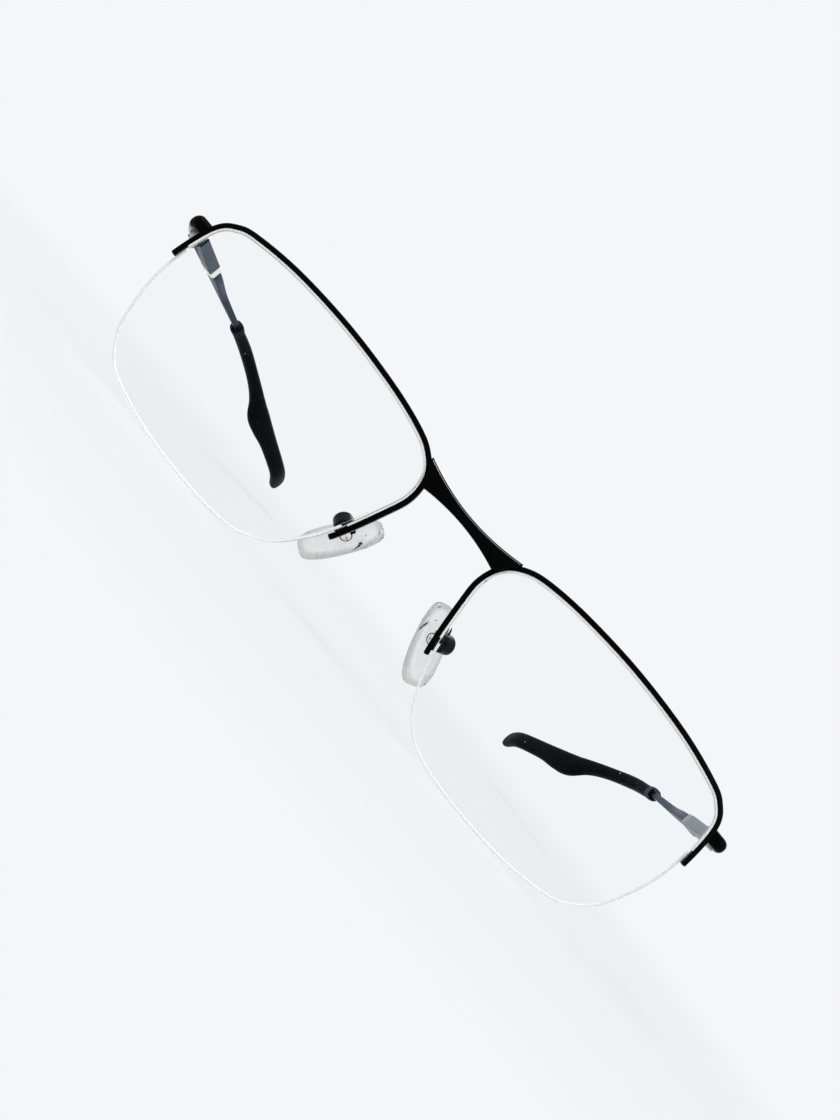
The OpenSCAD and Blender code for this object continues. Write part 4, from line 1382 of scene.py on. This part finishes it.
def add_to_scene(name: str, data: object, *columns: np.ndarray) -> bpy.types.Object:
    """An object in the scene; four columns, if given, are its three axes and its place."""
    made = bpy.data.objects.new(name, data)
    if columns:
        made.matrix_world = Matrix([*np.stack(columns, axis=1).tolist(), [0, 0, 0, 1]])
    bpy.context.scene.collection.objects.link(made)
    return made


@dataclass
class Studio:
    """Camera, lamps, world and floor."""

    distance: float = 280 * MM
    yaw: float = 2.1
    roll: float = 50.194
    aim_y: float = 2 * MM
    aim_z: float = 3.46 * MM
    focal_pixels: float = 1708.0
    image_height: float = 1120.0
    sensor: float = 36.0
    floor_z: float = -31.55 * MM
    floor_size: float = 20.0
    floor_tone: float = 0.7
    middle_y: float = 0.07
    near_floor: float = 0.09
    far_floor: float = 0.24
    shaded: float = 0.3

    def build(self) -> None:
        """Sets the whole studio."""
        bpy.context.scene.view_settings.view_transform = "Standard"
        for part in (self._camera, self._world, self._lamps, self._floor):
            part()

    def _camera(self) -> None:
        """Camera straight in front, yawed a little and rolled as the photograph is."""
        yaw, roll = math.radians(self.yaw), math.radians(self.roll)
        ahead = np.array([-math.sin(yaw), math.cos(yaw), 0.0])
        right = np.array([math.cos(yaw), math.sin(yaw), 0.0])
        data = bpy.data.cameras.new("camera")
        data.sensor_width = self.sensor
        data.lens = self.focal_pixels / self.image_height * data.sensor_width
        data.clip_start, data.clip_end = 0.01, 50.0
        aim = np.array([0.0, self.aim_y, self.aim_z - BRIDGE_HEIGHT])
        bpy.context.scene.camera = add_to_scene(
            "camera", data, math.cos(roll) * right + math.sin(roll) * UP,
            -math.sin(roll) * right + math.cos(roll) * UP, -ahead, aim - self.distance * ahead)

    def _world(self) -> None:
        """World: the pale backdrop to the eye, in gloss and through glass; softer as a light."""
        world = bpy.data.worlds.new("studio")
        bpy.context.scene.world = world
        world.use_nodes = True
        tree = world.node_tree
        tree.nodes.clear()
        seen = add_node(tree, "ShaderNodeBackground", {"Color": (*PALE, 1.0)})
        light = add_node(tree, "ShaderNodeBackground",
                         {"Color": (0.95, 0.97, 1.0, 1.0), "Strength": 0.55})
        add_node(tree, "ShaderNodeOutputWorld",
                 {"Surface": mixed(tree, seen_by_eye(tree), light, seen)})

    def _lamps(self) -> None:
        """A large soft lamp overhead to the left, a weaker one at the right, and one behind."""
        centre = np.array([0.0, 0.05, -0.01])
        for name, place, size, watts in (("key", (-0.45, -0.25, 0.7), 0.6, 5.0),
                                         ("fill", (0.6, -0.4, 0.35), 0.5, 1.5),
                                         ("rear", (0.1, 0.7, 0.5), 0.5, 2.0)):
            data = bpy.data.lights.new(name, "AREA")
            data.shape, data.size, data.energy = "SQUARE", size, watts
            back = unit(np.array(place) - centre)
            side = unit(np.cross(UP, back))
            made = add_to_scene(name, data, side, np.cross(back, side), back, np.array(place))
            made.visible_transmission = False

    def _floor(self) -> None:
        """Floor: a wide pale plane, plain to the eye, that keeps a soft shadow near the object.

        The share of it that the lamps shade falls from near to nothing as the distance from the
        object's middle goes from near_floor to far_floor.
        """
        corners = [(x * self.floor_size, y * self.floor_size, self.floor_z)
                   for x, y in ((-1, -1), (1, -1), (1, 1), (-1, 1))]
        mesh = bpy.data.meshes.new("floor")
        mesh.from_pydata(corners, [], [(0, 1, 2, 3)])
        made = add_to_scene("floor", mesh)
        material = bpy.data.materials.new("pale_floor")
        material.use_nodes = True
        tree = material.node_tree
        shader = feed(tree, tree.nodes["Principled BSDF"], {
            "Base Color": (*[self.floor_tone * c for c in PALE], 1.0), "Roughness": 0.9,
            "Specular IOR Level": 0.0})
        glow = add_node(tree, "ShaderNodeEmission", {"Color": (*PALE, 1.0)})
        place = add_node(tree, "ShaderNodeTexCoord").outputs["Object"]
        centred = add_node(tree, "ShaderNodeMapping", {
            "Location": (0.0, -self.middle_y, -self.floor_z), "Vector": place})
        reach = add_node(tree, "ShaderNodeVectorMath", {0: centred.outputs["Vector"]},
                         operation="LENGTH")
        plain = spread(tree, reach.outputs["Value"], 1 - self.shaded, 1.0, self.near_floor,
                       self.far_floor, smooth=True)
        share = maths(tree, "MULTIPLY", plain, seen_by_eye(tree))
        feed(tree, tree.nodes["Material Output"], {"Surface": mixed(tree, share, shader, glow)})
        mesh.materials.append(material)


def main() -> None:
    """Builds the studio, the front, both hinges and temples and both pads, and dresses the kept
    nodes.
    """
    steps: list[tuple[str, Callable[[], None]]] = [
        ("studio", Studio().build),
        ("front", Front().build),
        ("left temple", HingeSide(Side.LEFT, 0.9, 0.4 * MM, 17.8 * MM).build),
        ("right temple", HingeSide(Side.RIGHT, 3.4, 1.6 * MM, 14 * MM).build),
        ("left pad", NosePad(Side.LEFT).build),
        ("right pad", NosePad(Side.RIGHT).build),
        ("hardware", dress_nodes),
    ]
    for name, build in steps:
        build()
        log.info("%s done", name)


if __name__ == "__main__":
    main()
